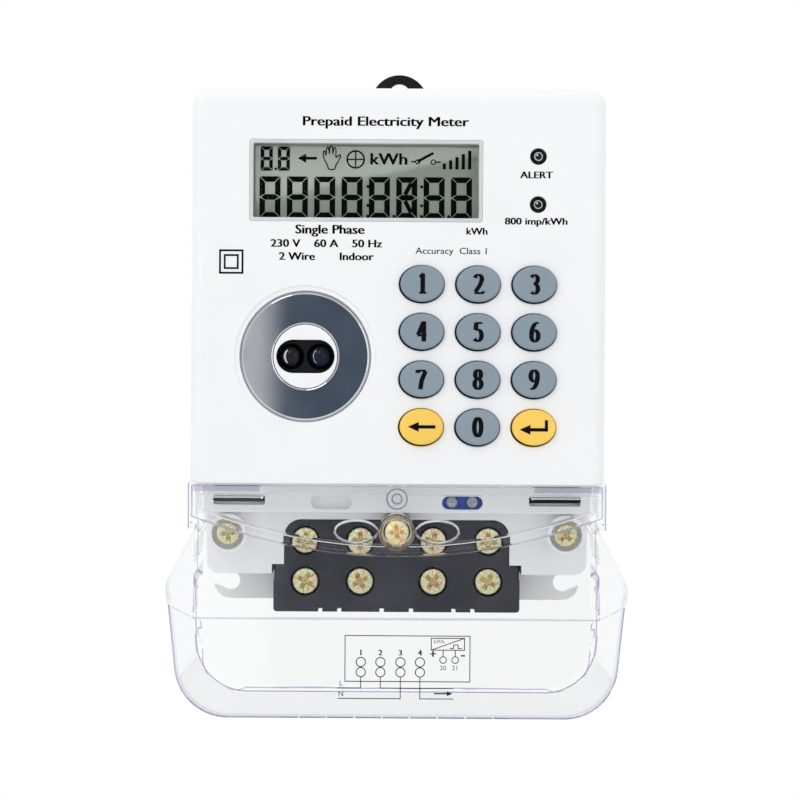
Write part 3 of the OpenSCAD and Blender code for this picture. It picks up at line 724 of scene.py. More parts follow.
def smoothed(outline: Sequence[Flat]) -> list[Flat]:
    """Rounds an outline by cutting its corners twice.

    Args:
        outline: The outline.

    Returns:
        The rounder outline.
    """
    for _ in range(2):
        cut = []
        for (ax, az), (bx, bz) in zip(outline, [*outline[1:], outline[0]]):
            cut += [(0.75 * ax + 0.25 * bx, 0.75 * az + 0.25 * bz),
                    (0.25 * ax + 0.75 * bx, 0.25 * az + 0.75 * bz)]
        outline = cut
    return list(outline)


# Solids


class Solid:
    """A closed mesh that can be joined to another with + and cut with -."""

    def __init__(self, mesh: bpy.types.Mesh) -> None:
        """Wraps a mesh."""
        self.mesh = mesh

    @classmethod
    def loft(cls, rings: Sequence[Ring], closed: bool = False) -> "Solid":
        """Skins rings that have the same number of points.

        Args:
            rings: The rings, in order.
            closed: Whether the last ring joins the first, instead of both being capped.

        Returns:
            The solid, with its faces pointing outwards.
        """
        shape = bmesh.new()
        rows = [[shape.verts.new(p) for p in ring] for ring in rings]
        pairs = list(zip(rows, rows[1:] + rows[:1])) if closed else list(zip(rows, rows[1:]))
        for low, high in pairs:
            for i in range(len(low)):
                j = (i + 1) % len(low)
                shape.faces.new((low[i], low[j], high[j], high[i]))
        if not closed:
            shape.faces.new(rows[0])
            shape.faces.new(rows[-1])
        bmesh.ops.recalc_face_normals(shape, faces=shape.faces)
        return cls.of(shape)

    @classmethod
    def of(cls, shape: bmesh.types.BMesh) -> "Solid":
        """Turns a bmesh into a solid and frees it.

        Args:
            shape: The bmesh.

        Returns:
            The solid.
        """
        mesh = bpy.data.meshes.new("solid")
        shape.to_mesh(mesh)
        shape.free()
        return cls(mesh)

    @classmethod
    def prism(cls, outline: Sequence[Flat], back: float, front: float, edge: float = 0.0,
              steps: int = 3) -> "Solid":
        """Gives an outline thickness.

        Args:
            outline: The outline, anticlockwise from the front.
            back: The depth of its back.
            front: The depth of its front.
            edge: The radius of its front edge.
            steps: How many stretches that radius has.

        Returns:
            The solid.
        """
        rings = [[at(x, z, back) for x, z in outline]]
        if edge <= 0:
            rings.append([at(x, z, front) for x, z in outline])
            return cls.loft(rings)
        for across, rise in quarter(steps):
            ring = grown(outline, -edge * (1 - across))
            rings.append([at(x, z, front - edge + edge * rise) for x, z in ring])
        return cls.loft(rings)

    @classmethod
    def turned(cls, centre: Flat, profile: Sequence[Flat], steps: int = ROUND_STEPS) -> "Solid":
        """Turns (radius, depth) steps, from the back centre to the front centre, round a depth line."""
        rings = [[at(x, z, depth) for x, z in ellipse(centre, 2 * r, 2 * r, steps)] for r, depth in profile]
        return cls.loft(rings)

    @classmethod
    def hull(cls, *outlines: tuple[Sequence[Flat], float]) -> "Solid":
        """Makes the convex skin round flat outlines.

        Args:
            outlines: Each outline with its depth.

        Returns:
            The skin, with its flat stretches merged into whole faces.
        """
        shape = bmesh.new()
        for outline, depth in outlines:
            for x, z in outline:
                shape.verts.new(at(x, z, depth))
        skin = bmesh.ops.convex_hull(shape, input=shape.verts)
        inside = [v for v in skin["geom_interior"] if isinstance(v, bmesh.types.BMVert)]
        bmesh.ops.delete(shape, geom=inside, context="VERTS")
        bmesh.ops.dissolve_limit(shape, angle_limit=math.radians(0.4), verts=shape.verts, edges=shape.edges)
        bmesh.ops.recalc_face_normals(shape, faces=shape.faces)
        return cls.of(shape)

    @classmethod
    def copy_of(cls, node: str) -> "Solid":
        """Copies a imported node's shape, with its loose triangles merged into whole faces.

        Args:
            node: The node's name.

        Returns:
            The copy.
        """
        shape = bmesh.new()
        shape.from_mesh(frame["nodes"][node].data)
        bmesh.ops.remove_doubles(shape, verts=shape.verts, dist=0.002 * MM)
        bmesh.ops.dissolve_limit(shape, angle_limit=math.radians(0.6), verts=shape.verts, edges=shape.edges)
        return cls.of(shape)

    @classmethod
    def box(cls, low: Flat, high: Flat, back: float, front: float) -> "Solid":
        """Returns a block between two corners and two depths."""
        return cls.prism([low, (high[0], low[1]), high, (low[0], high[1])], back, front)

    def _combine(self, other: "Solid", operation: str) -> "Solid":
        """Joins or cuts two solids.

        Args:
            other: The other solid.
            operation: UNION, DIFFERENCE or INTERSECT.

        Returns:
            The result.
        """
        first = place_object("first", self.mesh)
        second = place_object("second", other.mesh)
        cut = first.modifiers.new("combine", "BOOLEAN")
        cut.operation = operation
        cut.solver = "EXACT"
        cut.object = second
        return Solid(bake(first, second))

    def __add__(self, other: "Solid") -> "Solid":
        """Returns both solids as one."""
        return self._combine(other, "UNION")

    def __sub__(self, other: "Solid") -> "Solid":
        """Returns this solid with the other cut out of it."""
        return self._combine(other, "DIFFERENCE")

    def __and__(self, other: "Solid") -> "Solid":
        """Returns what both solids share."""
        return self._combine(other, "INTERSECT")

    def beside(self, *others: "Solid") -> "Solid":
        """Puts this solid and others that don't touch it in one mesh.

        Args:
            others: The others.

        Returns:
            All of them.
        """
        shape = bmesh.new()
        for solid in (self, *others):
            shape.from_mesh(solid.mesh)
        return Solid.of(shape)

    def moved(self, x: float) -> "Solid":
        """Moves the solid sideways, in millimetres, and returns it."""
        self.mesh.transform(Matrix.Translation((x * MM, 0, 0)))
        return self

    def softened(self, width: float, angle: float = 35, segments: int = 2) -> "Solid":
        """Rounds the sharp edges.

        Args:
            width: The radius of the rounding.
            angle: The least angle between two faces, in degrees, that is rounded.
            segments: How many stretches the rounding has.

        Returns:
            The rounded solid.
        """
        subject = place_object("subject", self.mesh)
        bevel = subject.modifiers.new("soften", "BEVEL")
        bevel.width = width * MM
        bevel.segments = segments
        bevel.limit_method = "ANGLE"
        bevel.angle_limit = math.radians(angle)
        bevel.use_clamp_overlap = True
        bevel.miter_outer = "MITER_ARC"
        return Solid(bake(subject))

    def as_piece(self, name: str, *finishes: Finish, crease: float = 32) -> bpy.types.Object:
        """Makes the solid an object of the scene.

        Args:
            name: The piece's name.
            finishes: Its finishes.
            crease: The angle in degrees past which an edge looks sharp.

        Returns:
            The object.
        """
        mesh = self.mesh
        mesh.name = name
        for finish in finishes:
            mesh.materials.append(material_of(finish))
        shape = bmesh.new()
        shape.from_mesh(mesh)
        for edge in shape.edges:
            edge.smooth = len(edge.link_faces) == 2 and edge.calc_face_angle(0) < math.radians(crease)
        for face in shape.faces:
            face.smooth = True
        shape.to_mesh(mesh)
        shape.free()
        subject = place_object(name, mesh)
        level = subject.modifiers.new("level", "WEIGHTED_NORMAL")
        level.keep_sharp = True
        level.weight = 100
        finished = bake(subject)
        finished.name = name
        return place_object(name, finished)


def place_object(name: str, data: bpy.types.ID) -> bpy.types.Object:
    """Puts a mesh, curve, light or camera in the scene.

    Args:
        name: The object's name.
        data: What the object holds.

    Returns:
        The object.
    """
    made = bpy.data.objects.new(name, data)
    bpy.context.scene.collection.objects.link(made)
    return made


def bake(subject: bpy.types.Object, *helpers: bpy.types.Object) -> bpy.types.Mesh:
    """Turns an object with modifiers into a plain mesh and removes the objects.

    Args:
        subject: The object.
        helpers: Objects that its modifiers use.

    Returns:
        The mesh.
    """
    bpy.context.view_layer.update()
    evaluated = subject.evaluated_get(bpy.context.evaluated_depsgraph_get())
    mesh = bpy.data.meshes.new_from_object(evaluated)
    for used in (subject, *helpers):
        bpy.data.objects.remove(used)
    return mesh


def fit(piece: bpy.types.Object, body: str, slot: str, *nodes: str) -> bpy.types.Object:
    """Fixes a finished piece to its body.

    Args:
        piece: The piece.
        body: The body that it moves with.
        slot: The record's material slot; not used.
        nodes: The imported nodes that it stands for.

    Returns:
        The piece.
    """
    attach(piece, body)
    if nodes:
        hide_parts(*nodes)
    log.info("%s rides on %s, %d faces", piece.name, body, len(piece.data.polygons))
    return piece


# Lettering and line work


def lettering(text: str, centre: Flat, height: float, depth: float, bold: float = 0.0,
              squeeze: float = 1.0) -> Solid:
    """Makes a line of plain printed lettering.

    Args:
        text: The words.
        centre: The middle of the line.
        height: The height of a capital.
        depth: The depth of the surface that it is printed on.
        bold: How much thicker the strokes are, as a share of the height.
        squeeze: The width as a share of the type's own.

    Returns:
        The lettering as a thin film.
    """
    capital = 0.73
    curve = bpy.data.curves.new("lettering", "FONT")
    curve.body = text
    curve.align_x = "CENTER"
    curve.align_y = "CENTER"
    curve.size = height / capital * MM
    curve.extrude = FILM / 2 * MM
    curve.resolution_u = 3
    mesh = bake(place_object("lettering", curve))
    stand = Matrix.Rotation(math.pi / 2, 4, "X") @ Matrix.Diagonal((squeeze, 1, 1, 1))
    mesh.transform(Matrix.Translation(at(*centre, depth + FILM / 2)) @ stand)
    letters = bmesh.new()
    for side in (-1, 0, 1) if bold else (0,):
        shift = Matrix.Translation((side * bold * height * MM, 0, 0))
        mesh.transform(shift)
        letters.from_mesh(mesh)
        mesh.transform(shift.inverted())
    return Solid.of(letters)


def film(outline: Sequence[Flat], depth: float) -> Solid:
    """Returns a printed patch on a surface at a depth."""
    return Solid.prism(outline, depth, depth + FILM)


def line(start: Flat, end: Flat, width: float, depth: float) -> Solid:
    """Draws a straight line with square ends.

    Args:
        start: Its start.
        end: Its end.
        width: Its width, by half of which it runs past both.
        depth: The depth of the surface.

    Returns:
        The line as a thin film.
    """
    first, last = Vector(start), Vector(end)
    along = (last - first).normalized() * width / 2
    side = Vector((-along.y, along.x))
    corners = [first - along - side, last + along - side, last + along + side, first - along + side]
    return film([tuple(c) for c in corners], depth)


def path_lines(points: Sequence[Flat], width: float, depth: float) -> list[Solid]:
    """Returns printed lines through points."""
    return [line(a, b, width, depth) for a, b in zip(points, points[1:])]


def hoop(centre: Flat, radius: float, width: float, depth: float, steps: int = 32) -> Solid:
    """Draws a circle line.

    Args:
        centre: The circle's middle.
        radius: The radius to the middle of the line.
        width: The line's width.
        depth: The depth of the surface.
        steps: How many stretches the circle has.

    Returns:
        The circle line as a thin film.
    """
    rings = []
    for r, d in ((radius + width / 2, depth), (radius + width / 2, depth + FILM),
                 (radius - width / 2, depth + FILM), (radius - width / 2, depth)):
        rings.append([at(x, z, d) for x, z in ellipse(centre, 2 * r, 2 * r, steps)])
    return Solid.loft(rings, closed=True)


def frame_line(low: Flat, high: Flat, width: float, depth: float) -> list[Solid]:
    """Returns a printed rectangle line."""
    corners = [low, (high[0], low[1]), high, (low[0], high[1]), low]
    return path_lines(corners, width, depth)


def joined(solids: Sequence[Solid]) -> Solid:
    """Returns many separate solids in one mesh."""
    return solids[0].beside(*solids[1:])


def anticlockwise(outline: Sequence[Flat]) -> list[Flat]:
    """Returns an outline turned anticlockwise if it isn't."""
    area = sum(a[0] * b[1] - b[0] * a[1] for a, b in zip(outline, [*outline[1:], outline[0]]))
    return list(outline) if area > 0 else list(reversed(outline))


def arrow(tip: Flat, tail: Flat, shaft: float, head: float, length: float, depth: float) -> Solid:
    """Draws an arrow.

    Args:
        tip: Its tip.
        tail: The end of its shaft.
        shaft: The shaft's width.
        head: The head's width.
        length: The head's length.
        depth: The depth of the surface.

    Returns:
        The arrow as a thin film.
    """
    end, start = Vector(tip), Vector(tail)
    along = (start - end).normalized()
    side = Vector((-along.y, along.x))
    neck = end + along * length
    corners = [end, neck + side * head / 2, neck + side * shaft / 2, start + side * shaft / 2,
               start - side * shaft / 2, neck - side * shaft / 2, neck - side * head / 2]
    return film(anticlockwise([tuple(c) for c in corners]), depth)


@dataclass(frozen=True)
class BroadPen:
    """A pen for numerals of one height, with the widths of its uprights and cross strokes as shares of it."""

    height: float
    heavy: float = 0.23
    light: float = 0.1

    def stroke(self, points: Sequence[Flat], centre: Flat, depth: float) -> Solid:
        """Draws one stroke.

        Args:
            points: The stroke's line, as shares of the height from the numeral's middle.
            centre: Where the numeral's middle lies.
            depth: The depth of the surface.

        Returns:
            The stroke.
        """
        line_points = [Vector(p) for p in points]
        left, right = [], []
        for i, point in enumerate(line_points):
            before = line_points[max(0, i - 1)]
            after = line_points[min(len(line_points) - 1, i + 1)]
            along = (after - before).normalized()
            normal = Vector((-along.y, along.x))
            half = math.hypot(normal.x * self.heavy, normal.y * self.light) / 2
            left.append(point + normal * half)
            right.append(point - normal * half)
        outline = left + right[::-1]
        spread = [(centre[0] + p.x * self.height, centre[1] + p.y * self.height) for p in outline]
        return strip(spread, depth)

    @staticmethod
    def arc(centre: Flat, radii: Flat, start: float, end: float, steps: int = 14) -> list[Flat]:
        """Returns points along part of an ellipse, between two angles in degrees."""
        turns = [math.radians(start + (end - start) * i / steps) for i in range(steps + 1)]
        return [(centre[0] + radii[0] * math.cos(t), centre[1] + radii[1] * math.sin(t)) for t in turns]

    def strokes(self, digit: int) -> list[list[Flat]]:
        """Gives the strokes of a numeral.

        Args:
            digit: The numeral.

        Returns:
            The points of each stroke, as shares of the height from the numeral's middle.
        """
        arc = self.arc
        low, high = -0.5 + self.light / 2, 0.5 - self.light / 2
        shapes = {
            0: [arc((0, 0), (0.17, high), 90, 450, 32)],
            1: [[(0.02, 0.5), (0.02, low)], [(-0.16, low), (0.2, low)],
                [(-0.14, 0.33), (0.0, 0.42), (0.06, 0.5)]],
            2: [arc((-0.01, 0.24), (0.17, high - 0.24), 165, -20) + [(0.05, -0.08), (-0.16, -0.4)],
                [(-0.2, low), (0.22, low), (0.23, low + 0.1)]],
            3: [arc((-0.02, 0.25), (0.16, high - 0.25), 155, -80) + [(-0.05, 0.03)],
                [(-0.06, 0.05)] + arc((-0.03, -0.22), (0.18, 0.24), 80, -140)],
            4: [[(0.09, 0.5), (0.09, -0.5)], [(0.07, 0.46), (-0.2, -0.18)], [(-0.23, -0.2), (0.23, -0.2)]],
            5: [[(0.2, high - 0.02), (-0.1, high - 0.02)], [(-0.1, high), (-0.13, 0.08)],
                [(-0.13, 0.08)] + arc((-0.03, -0.18), (0.19, 0.28), 105, -145)],
            6: [[(0.2, high)] + arc((0.16, -0.16), (0.32, 0.62), 105, 180, 10),
                arc((0.01, -0.19), (0.17, 0.27), 180, -180, 28)],
            7: [[(-0.19, high - 0.03), (0.2, high - 0.03)],
                [(0.19, high - 0.05), (0.0, -0.05), (-0.07, -0.5)], [(-0.19, high), (-0.2, 0.3)]],
            8: [arc((0, 0.245), (0.14, 0.215), 90, 450, 28), arc((0, -0.225), (0.165, 0.235), 90, 450, 28)],
            9: [[(-0.2, low)] + arc((-0.16, 0.16), (0.32, 0.62), -75, 0, 10),
                arc((-0.01, 0.19), (0.17, 0.27), 0, 360, 28)],
        }
        return shapes[digit]

    def numeral(self, digit: int, centre: Flat, depth: float) -> Solid:
        """Draws a whole numeral, each stroke a hair above the one before it."""
        hair = 0.003
        return joined([self.stroke(points, centre, depth + i * hair)
                       for i, points in enumerate(self.strokes(digit))])


def strip(outline: Sequence[Flat], depth: float) -> Solid:
    """Gives a long narrow outline the thickness of a print.

    Args:
        outline: Its left side and then its right side, which runs back.
        depth: The depth of the surface.

    Returns:
        The film.
    """
    half = len(outline) // 2
    left, right = outline[:half], outline[half:][::-1]
    rings = []
    for (lx, lz), (rx, rz) in zip(left, right):
        rings.append([at(lx, lz, depth), at(rx, rz, depth),
                      at(rx, rz, depth + FILM), at(lx, lz, depth + FILM)])
    return Solid.loft(rings)


def opening(outline: Sequence[Flat], back: float, front: float, lip: float, steps: int = 4) -> Solid:
    """Makes a cutter for an opening with a rounded mouth.

    Args:
        outline: The opening's outline, anticlockwise from the front.
        back: The depth that the cut starts at.
        front: The depth of the surface that it opens.
        lip: The radius of its mouth.
        steps: How many stretches the lip has.

    Returns:
        The cutter.
    """
    rings = [[at(x, z, back) for x, z in outline]]
    for across, rise in quarter(steps):
        ring = grown(outline, lip * (1 - across))
        rings.append([at(x, z, front - lip + lip * rise) for x, z in ring])
    rings.append([at(x, z, front + CLEAR) for x, z in grown(outline, lip)])
    return Solid.loft(rings)


class Repeater:
    """A Geometry Nodes tree that sets one blank, freely turned, on every point of a mesh."""

    def __init__(self) -> None:
        """Builds the tree."""
        self.tree = bpy.data.node_groups.new("set_on_points", "GeometryNodeTree")
        inputs = {"Geometry": "NodeSocketGeometry", "Blank": "NodeSocketObject",
                  "Largest turn": "NodeSocketFloat", "Seed": "NodeSocketInt", "Finish": "NodeSocketMaterial"}
        self.sockets = {}
        for name, kind in inputs.items():
            made = self.tree.interface.new_socket(name, in_out="INPUT", socket_type=kind)
            self.sockets[name] = made.identifier
        self.tree.interface.new_socket("Geometry", in_out="OUTPUT", socket_type="NodeSocketGeometry")
        given = self._node("NodeGroupInput", {}).outputs
        blank = self._node("GeometryNodeObjectInfo", {"Object": given["Blank"]})
        turn = self._node("FunctionNodeRandomValue", {3: given["Largest turn"], "Seed": given["Seed"]})
        about = self._node("ShaderNodeCombineXYZ", {"Y": turn.outputs[1]})
        rotation = self._node("FunctionNodeEulerToRotation", {0: about.outputs[0]})
        placed = self._node("GeometryNodeInstanceOnPoints",
                            {"Points": given["Geometry"], "Instance": blank.outputs["Geometry"],
                             "Rotation": rotation.outputs[0]})
        real = self._node("GeometryNodeRealizeInstances", {"Geometry": placed.outputs[0]})
        dressed = self._node("GeometryNodeSetMaterial", {"Geometry": real.outputs[0],
                                                         "Material": given["Finish"]})
        self._node("NodeGroupOutput", {"Geometry": dressed.outputs[0]})

    def _node(self, kind: str, links: dict[str | int, bpy.types.NodeSocket]) -> bpy.types.Node:
        """Makes a node and links its inputs.

        Args:
            kind: The node's type.
            links: The socket that feeds each input.

        Returns:
            The node.
        """
        made = self.tree.nodes.new(kind)
        for name, socket in links.items():
            self.tree.links.new(socket, made.inputs[name])
        return made

    def mesh(self, blank: Solid, places: Sequence[Flat], finish: Finish, turn: float,
             seed: int) -> bpy.types.Mesh:
        """Sets a blank on places.

        Args:
            blank: The blank, standing on x = 0 and z = 0.
            places: Where the copies go.
            finish: Their finish.
            turn: The largest angle that a copy is turned by, in degrees.
            seed: The seed of the turns.

        Returns:
            All the copies as one plain mesh.
        """
        points = bpy.data.meshes.new("points")
        points.from_pydata([at(x, z, 0) for x, z in places], [], [])
        subject = place_object("points", points)
        model = place_object("blank", blank.mesh)
        repeat = subject.modifiers.new("repeat", "NODES")
        repeat.node_group = self.tree
        repeat[self.sockets["Blank"]] = model
        repeat[self.sockets["Largest turn"]] = math.radians(turn)
        repeat[self.sockets["Seed"]] = seed
        repeat[self.sockets["Finish"]] = material_of(finish)
        return bake(subject, model)


# Sub-assemblies


SHELL = Extent.of("front_cover")
FACE_WALL = 2.4
FACE_CUT = SHELL.front - FACE_WALL - CLEAR   # where the cutters of the face's openings start


@dataclass
class CaseShell:
    """The front half of the case, with the ledge and shelf under its face."""

    half: float = SHELL.right
    top: float = SHELL.high
    face_low: float = -24.2
    face_low_corner: float = 0.6
    depth: float = SHELL.front
    seam: float = SHELL.back
    wall: float = 2.2
    face_wall: float = FACE_WALL
    corner: float = 4
    edge: float = 3
    edge_steps: int = 12
    lip: float = 0.4
    ledge_half: float = 43.9
    ledge_low: float = -31.2
    ledge_depth: float = 46
    shelf_low: float = SHELL.low
    shelf_depth: float = 33
    shelf_back: float = 30.6
    shelf_corner: float = 3
    boss: Flat = (38.8, -36.6)
    boss_radius: float = 4.575
    boss_top: float = 36.6
    well_radius: float = 3.65
    well_floor: float = 33.4
    screw_hole: float = 2
    block_half: float = 26
    block_corner: float = 4
    block_foot_half: float = 28.8
    block_top: float = -33.4
    block_step: float = -43.8
    post: Flat = (0, -35.1)
    post_radius: float = 3.8
    pill_at: Flat = (14.8, -28.9)
    pill_size: Flat = (9.2, 3)
    pill_deep: float = 1.6
    pulse_floor: float = 36
    slit_at: Flat = (35.7, -28.5)
    slit_half: Flat = (5.8, 1)

    def outline(self, inset: float) -> list[Flat]:
        """Returns the face's outline, moved in at the sides and the top."""
        corner = max(0.8, self.corner - inset)
        return rounded_box((-self.half + inset, self.face_low), (self.half - inset, self.top - inset),
                           self.face_low_corner, corner)

    def outer(self) -> Solid:
        """Makes the body, with a fine chamfer at the seam and a round edge at the front.

        Returns:
            The body, filled.
        """
        rings = []
        for inset, depth in ((0.35, 0), (0.1, 0.1), (0, 0.35)):
            rings.append([at(x, z, self.seam + depth) for x, z in self.outline(inset)])
        for across, rise in quarter(self.edge_steps):
            depth = self.depth - self.edge + self.edge * rise
            rings.append([at(x, z, depth) for x, z in self.outline(self.edge * (1 - across))])
        return Solid.loft(rings)

    def lower(self) -> Solid:
        """Makes the ledge, the shelf and its two screw bosses.

        Returns:
            All of them in one.
        """
        left, right = -self.ledge_half, self.ledge_half
        ledge = Solid.prism(rounded_box((left, self.ledge_low), (right, self.face_low + CLEAR), 0.5, 0.1, 4),
                            self.seam, self.ledge_depth, self.lip)
        low, high = self.shelf_low, self.ledge_low + CLEAR
        shelf = Solid.prism(rounded([(left, low, self.shelf_corner), (right, low, self.shelf_corner),
                                     (right, high, 0.1), (left, high, 0.1)]),
                            self.shelf_back, self.shelf_depth, self.lip)
        x, z = self.boss
        radius, top = self.boss_radius, self.boss_top
        profile = [(AXIS, self.shelf_back), (radius, self.shelf_back), (radius, top - 0.3),
                   (radius - 0.075, top - 0.1), (radius - 0.275, top), (AXIS, top)]
        return ledge + shelf + joined([Solid.turned((side * x, z), profile) for side in SIDES])

    def cavity(self) -> Solid:
        """Makes the room inside, under the face and under the ledge.

        Returns:
            The cutter.
        """
        wall = self.wall
        inner = Solid.prism(rounded_box((-self.half + wall, self.face_low + wall),
                                        (self.half - wall, self.top - wall), 0.6, self.corner - 1.5),
                            self.seam - CLEAR, self.depth - self.face_wall)
        under = Solid.box((-self.ledge_half + wall, self.ledge_low + wall),
                          (self.ledge_half - wall, self.face_low + wall + 0.5),
                          self.seam - CLEAR, self.ledge_depth - wall)
        return inner + under

    def block_room(self) -> Solid:
        """Makes the cut in the shelf that the terminal block and its post stand in.

        Returns:
            The cutter.
        """
        low, high = self.shelf_low - CLEAR, self.block_top
        back, front = self.shelf_back - CLEAR, self.shelf_depth + CLEAR
        upper = Solid.prism(rounded([(-self.block_half, low, 0), (self.block_half, low, 0),
                                     (self.block_half, high, self.block_corner),
                                     (-self.block_half, high, self.block_corner)]), back, front)
        lower = Solid.box((-self.block_foot_half, low - 0.5), (self.block_foot_half, self.block_step),
                          back - STAGGER, front + STAGGER)
        back, front = back - 2 * STAGGER, front + 2 * STAGGER
        post = Solid.turned(self.post, [(AXIS, back), (self.post_radius, back),
                                        (self.post_radius, front), (AXIS, front)])
        return upper + lower + post

    def ledge_cuts(self) -> list[Solid]:
        """Makes the cutters of the ledge's two pills, two slits and two screw wells.

        Returns:
            The cutters.
        """
        front = self.ledge_depth
        (x, z), size = self.pill_at, self.pill_size
        cuts = [opening(pill((-x, z), *size), front - self.pill_deep, front, 0.2),
                opening(pill((x, z), *size), self.pulse_floor, front, 0.2)]
        hole, well, floor, top = self.screw_hole, self.well_radius, self.well_floor, self.boss_top
        profile = [(AXIS, self.seam - CLEAR), (hole, self.seam - CLEAR), (hole, floor), (well, floor),
                   (well, top - 0.3), (well + 0.1, top - 0.1), (well + 0.3, top), (well + 0.3, top + 1.4),
                   (AXIS, top + 1.4)]
        for side in SIDES:
            x, z = side * self.slit_at[0], self.slit_at[1]
            wide, tall = self.slit_half
            slit = rounded_box((x - wide, z - tall), (x + wide, z + tall), 0.3, 0.3, 3)
            cuts.append(opening(slit, front - self.wall - CLEAR, front, 0.15))
            cuts.append(Solid.turned((side * self.boss[0], self.boss[1]), profile))
        return cuts

    def build(self, front_cuts: list[Solid]) -> None:
        """Builds and dresses the shell.

        Args:
            front_cuts: The cutters of the display, lamps, port and keypad.
        """
        body = self.outer() + self.lower()
        body = body - self.cavity() - self.block_room()
        body = body - joined(front_cuts + self.ledge_cuts())
        fit(body.as_piece("case_shell", Finish.CASE_WHITE), "case", "case_white", "front_cover")


@dataclass
class Moulded:
    """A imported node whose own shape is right, with its sharp edges rounded."""

    name: str
    node: str
    slot: str
    finish: Finish
    edge: float = 0.3

    def build(self) -> None:
        """Builds and dresses the piece."""
        piece = Solid.copy_of(self.node).softened(self.edge).as_piece(self.name, self.finish)
        fit(piece, "case", self.slot, self.node)


@dataclass(frozen=True)
class FigureRow:
    """A row of figures of seven bars each, side by side."""

    count: int
    left: float
    low: float
    pitch: float
    width: float
    height: float
    bar: float

    def outlines(self, left: float) -> list[list[Flat]]:
        """Draws the mitred bars of one figure.

        Args:
            left: The figure's left edge.

        Returns:
            The outline of each bar.
        """
        bar, half, gap = self.bar, self.bar / 2, self.bar * 0.09
        right, low, high = left + self.width, self.low, self.low + self.height
        middle = low + self.height / 2
        nib = gap + half * 0.4
        bars = []
        for z, inward in ((high, -1), (low, 1)):
            bars.append([(left + gap, z), (right - gap, z), (right - bar - gap, z + inward * bar),
                         (left + bar + gap, z + inward * bar)])
        bars.append([(left + nib, middle), (left + bar, middle + half), (right - bar, middle + half),
                     (right - nib, middle), (right - bar, middle - half), (left + bar, middle - half)])
        for x, inward in ((left, 1), (right, -1)):
            for outer, sign in ((low, 1), (high, -1)):
                bars.append([(x, outer + sign * gap), (x + inward * bar, outer + sign * (bar + gap)),
                             (x + inward * bar, middle - sign * (half + gap)), (x, middle - sign * gap)])
        return bars

    def printed(self, depth: float) -> list[Solid]:
        """Returns every bar of every figure, as print on a surface at a depth."""
        lefts = [self.left + i * self.pitch for i in range(self.count)]
        return [film(anticlockwise(bar), depth) for left in lefts for bar in self.outlines(left)]


# The outline of a raised hand, as shares of its size from its middle.
HAND = [(-0.17, -0.5), (-0.2, -0.36), (-0.4, -0.08), (-0.46, 0.1), (-0.44, 0.26), (-0.35, 0.25), (-0.3, 0.06),
        (-0.29, 0.3), (-0.25, 0.42), (-0.16, 0.42), (-0.13, 0.1), (-0.1, 0.42), (-0.03, 0.5), (0.05, 0.42),
        (0.05, 0.1), (0.1, 0.38), (0.18, 0.42), (0.23, 0.34), (0.22, -0.02), (0.33, 0.06), (0.44, 0.12),
        (0.48, 0.04), (0.35, -0.16), (0.2, -0.36), (0.17, -0.5)]


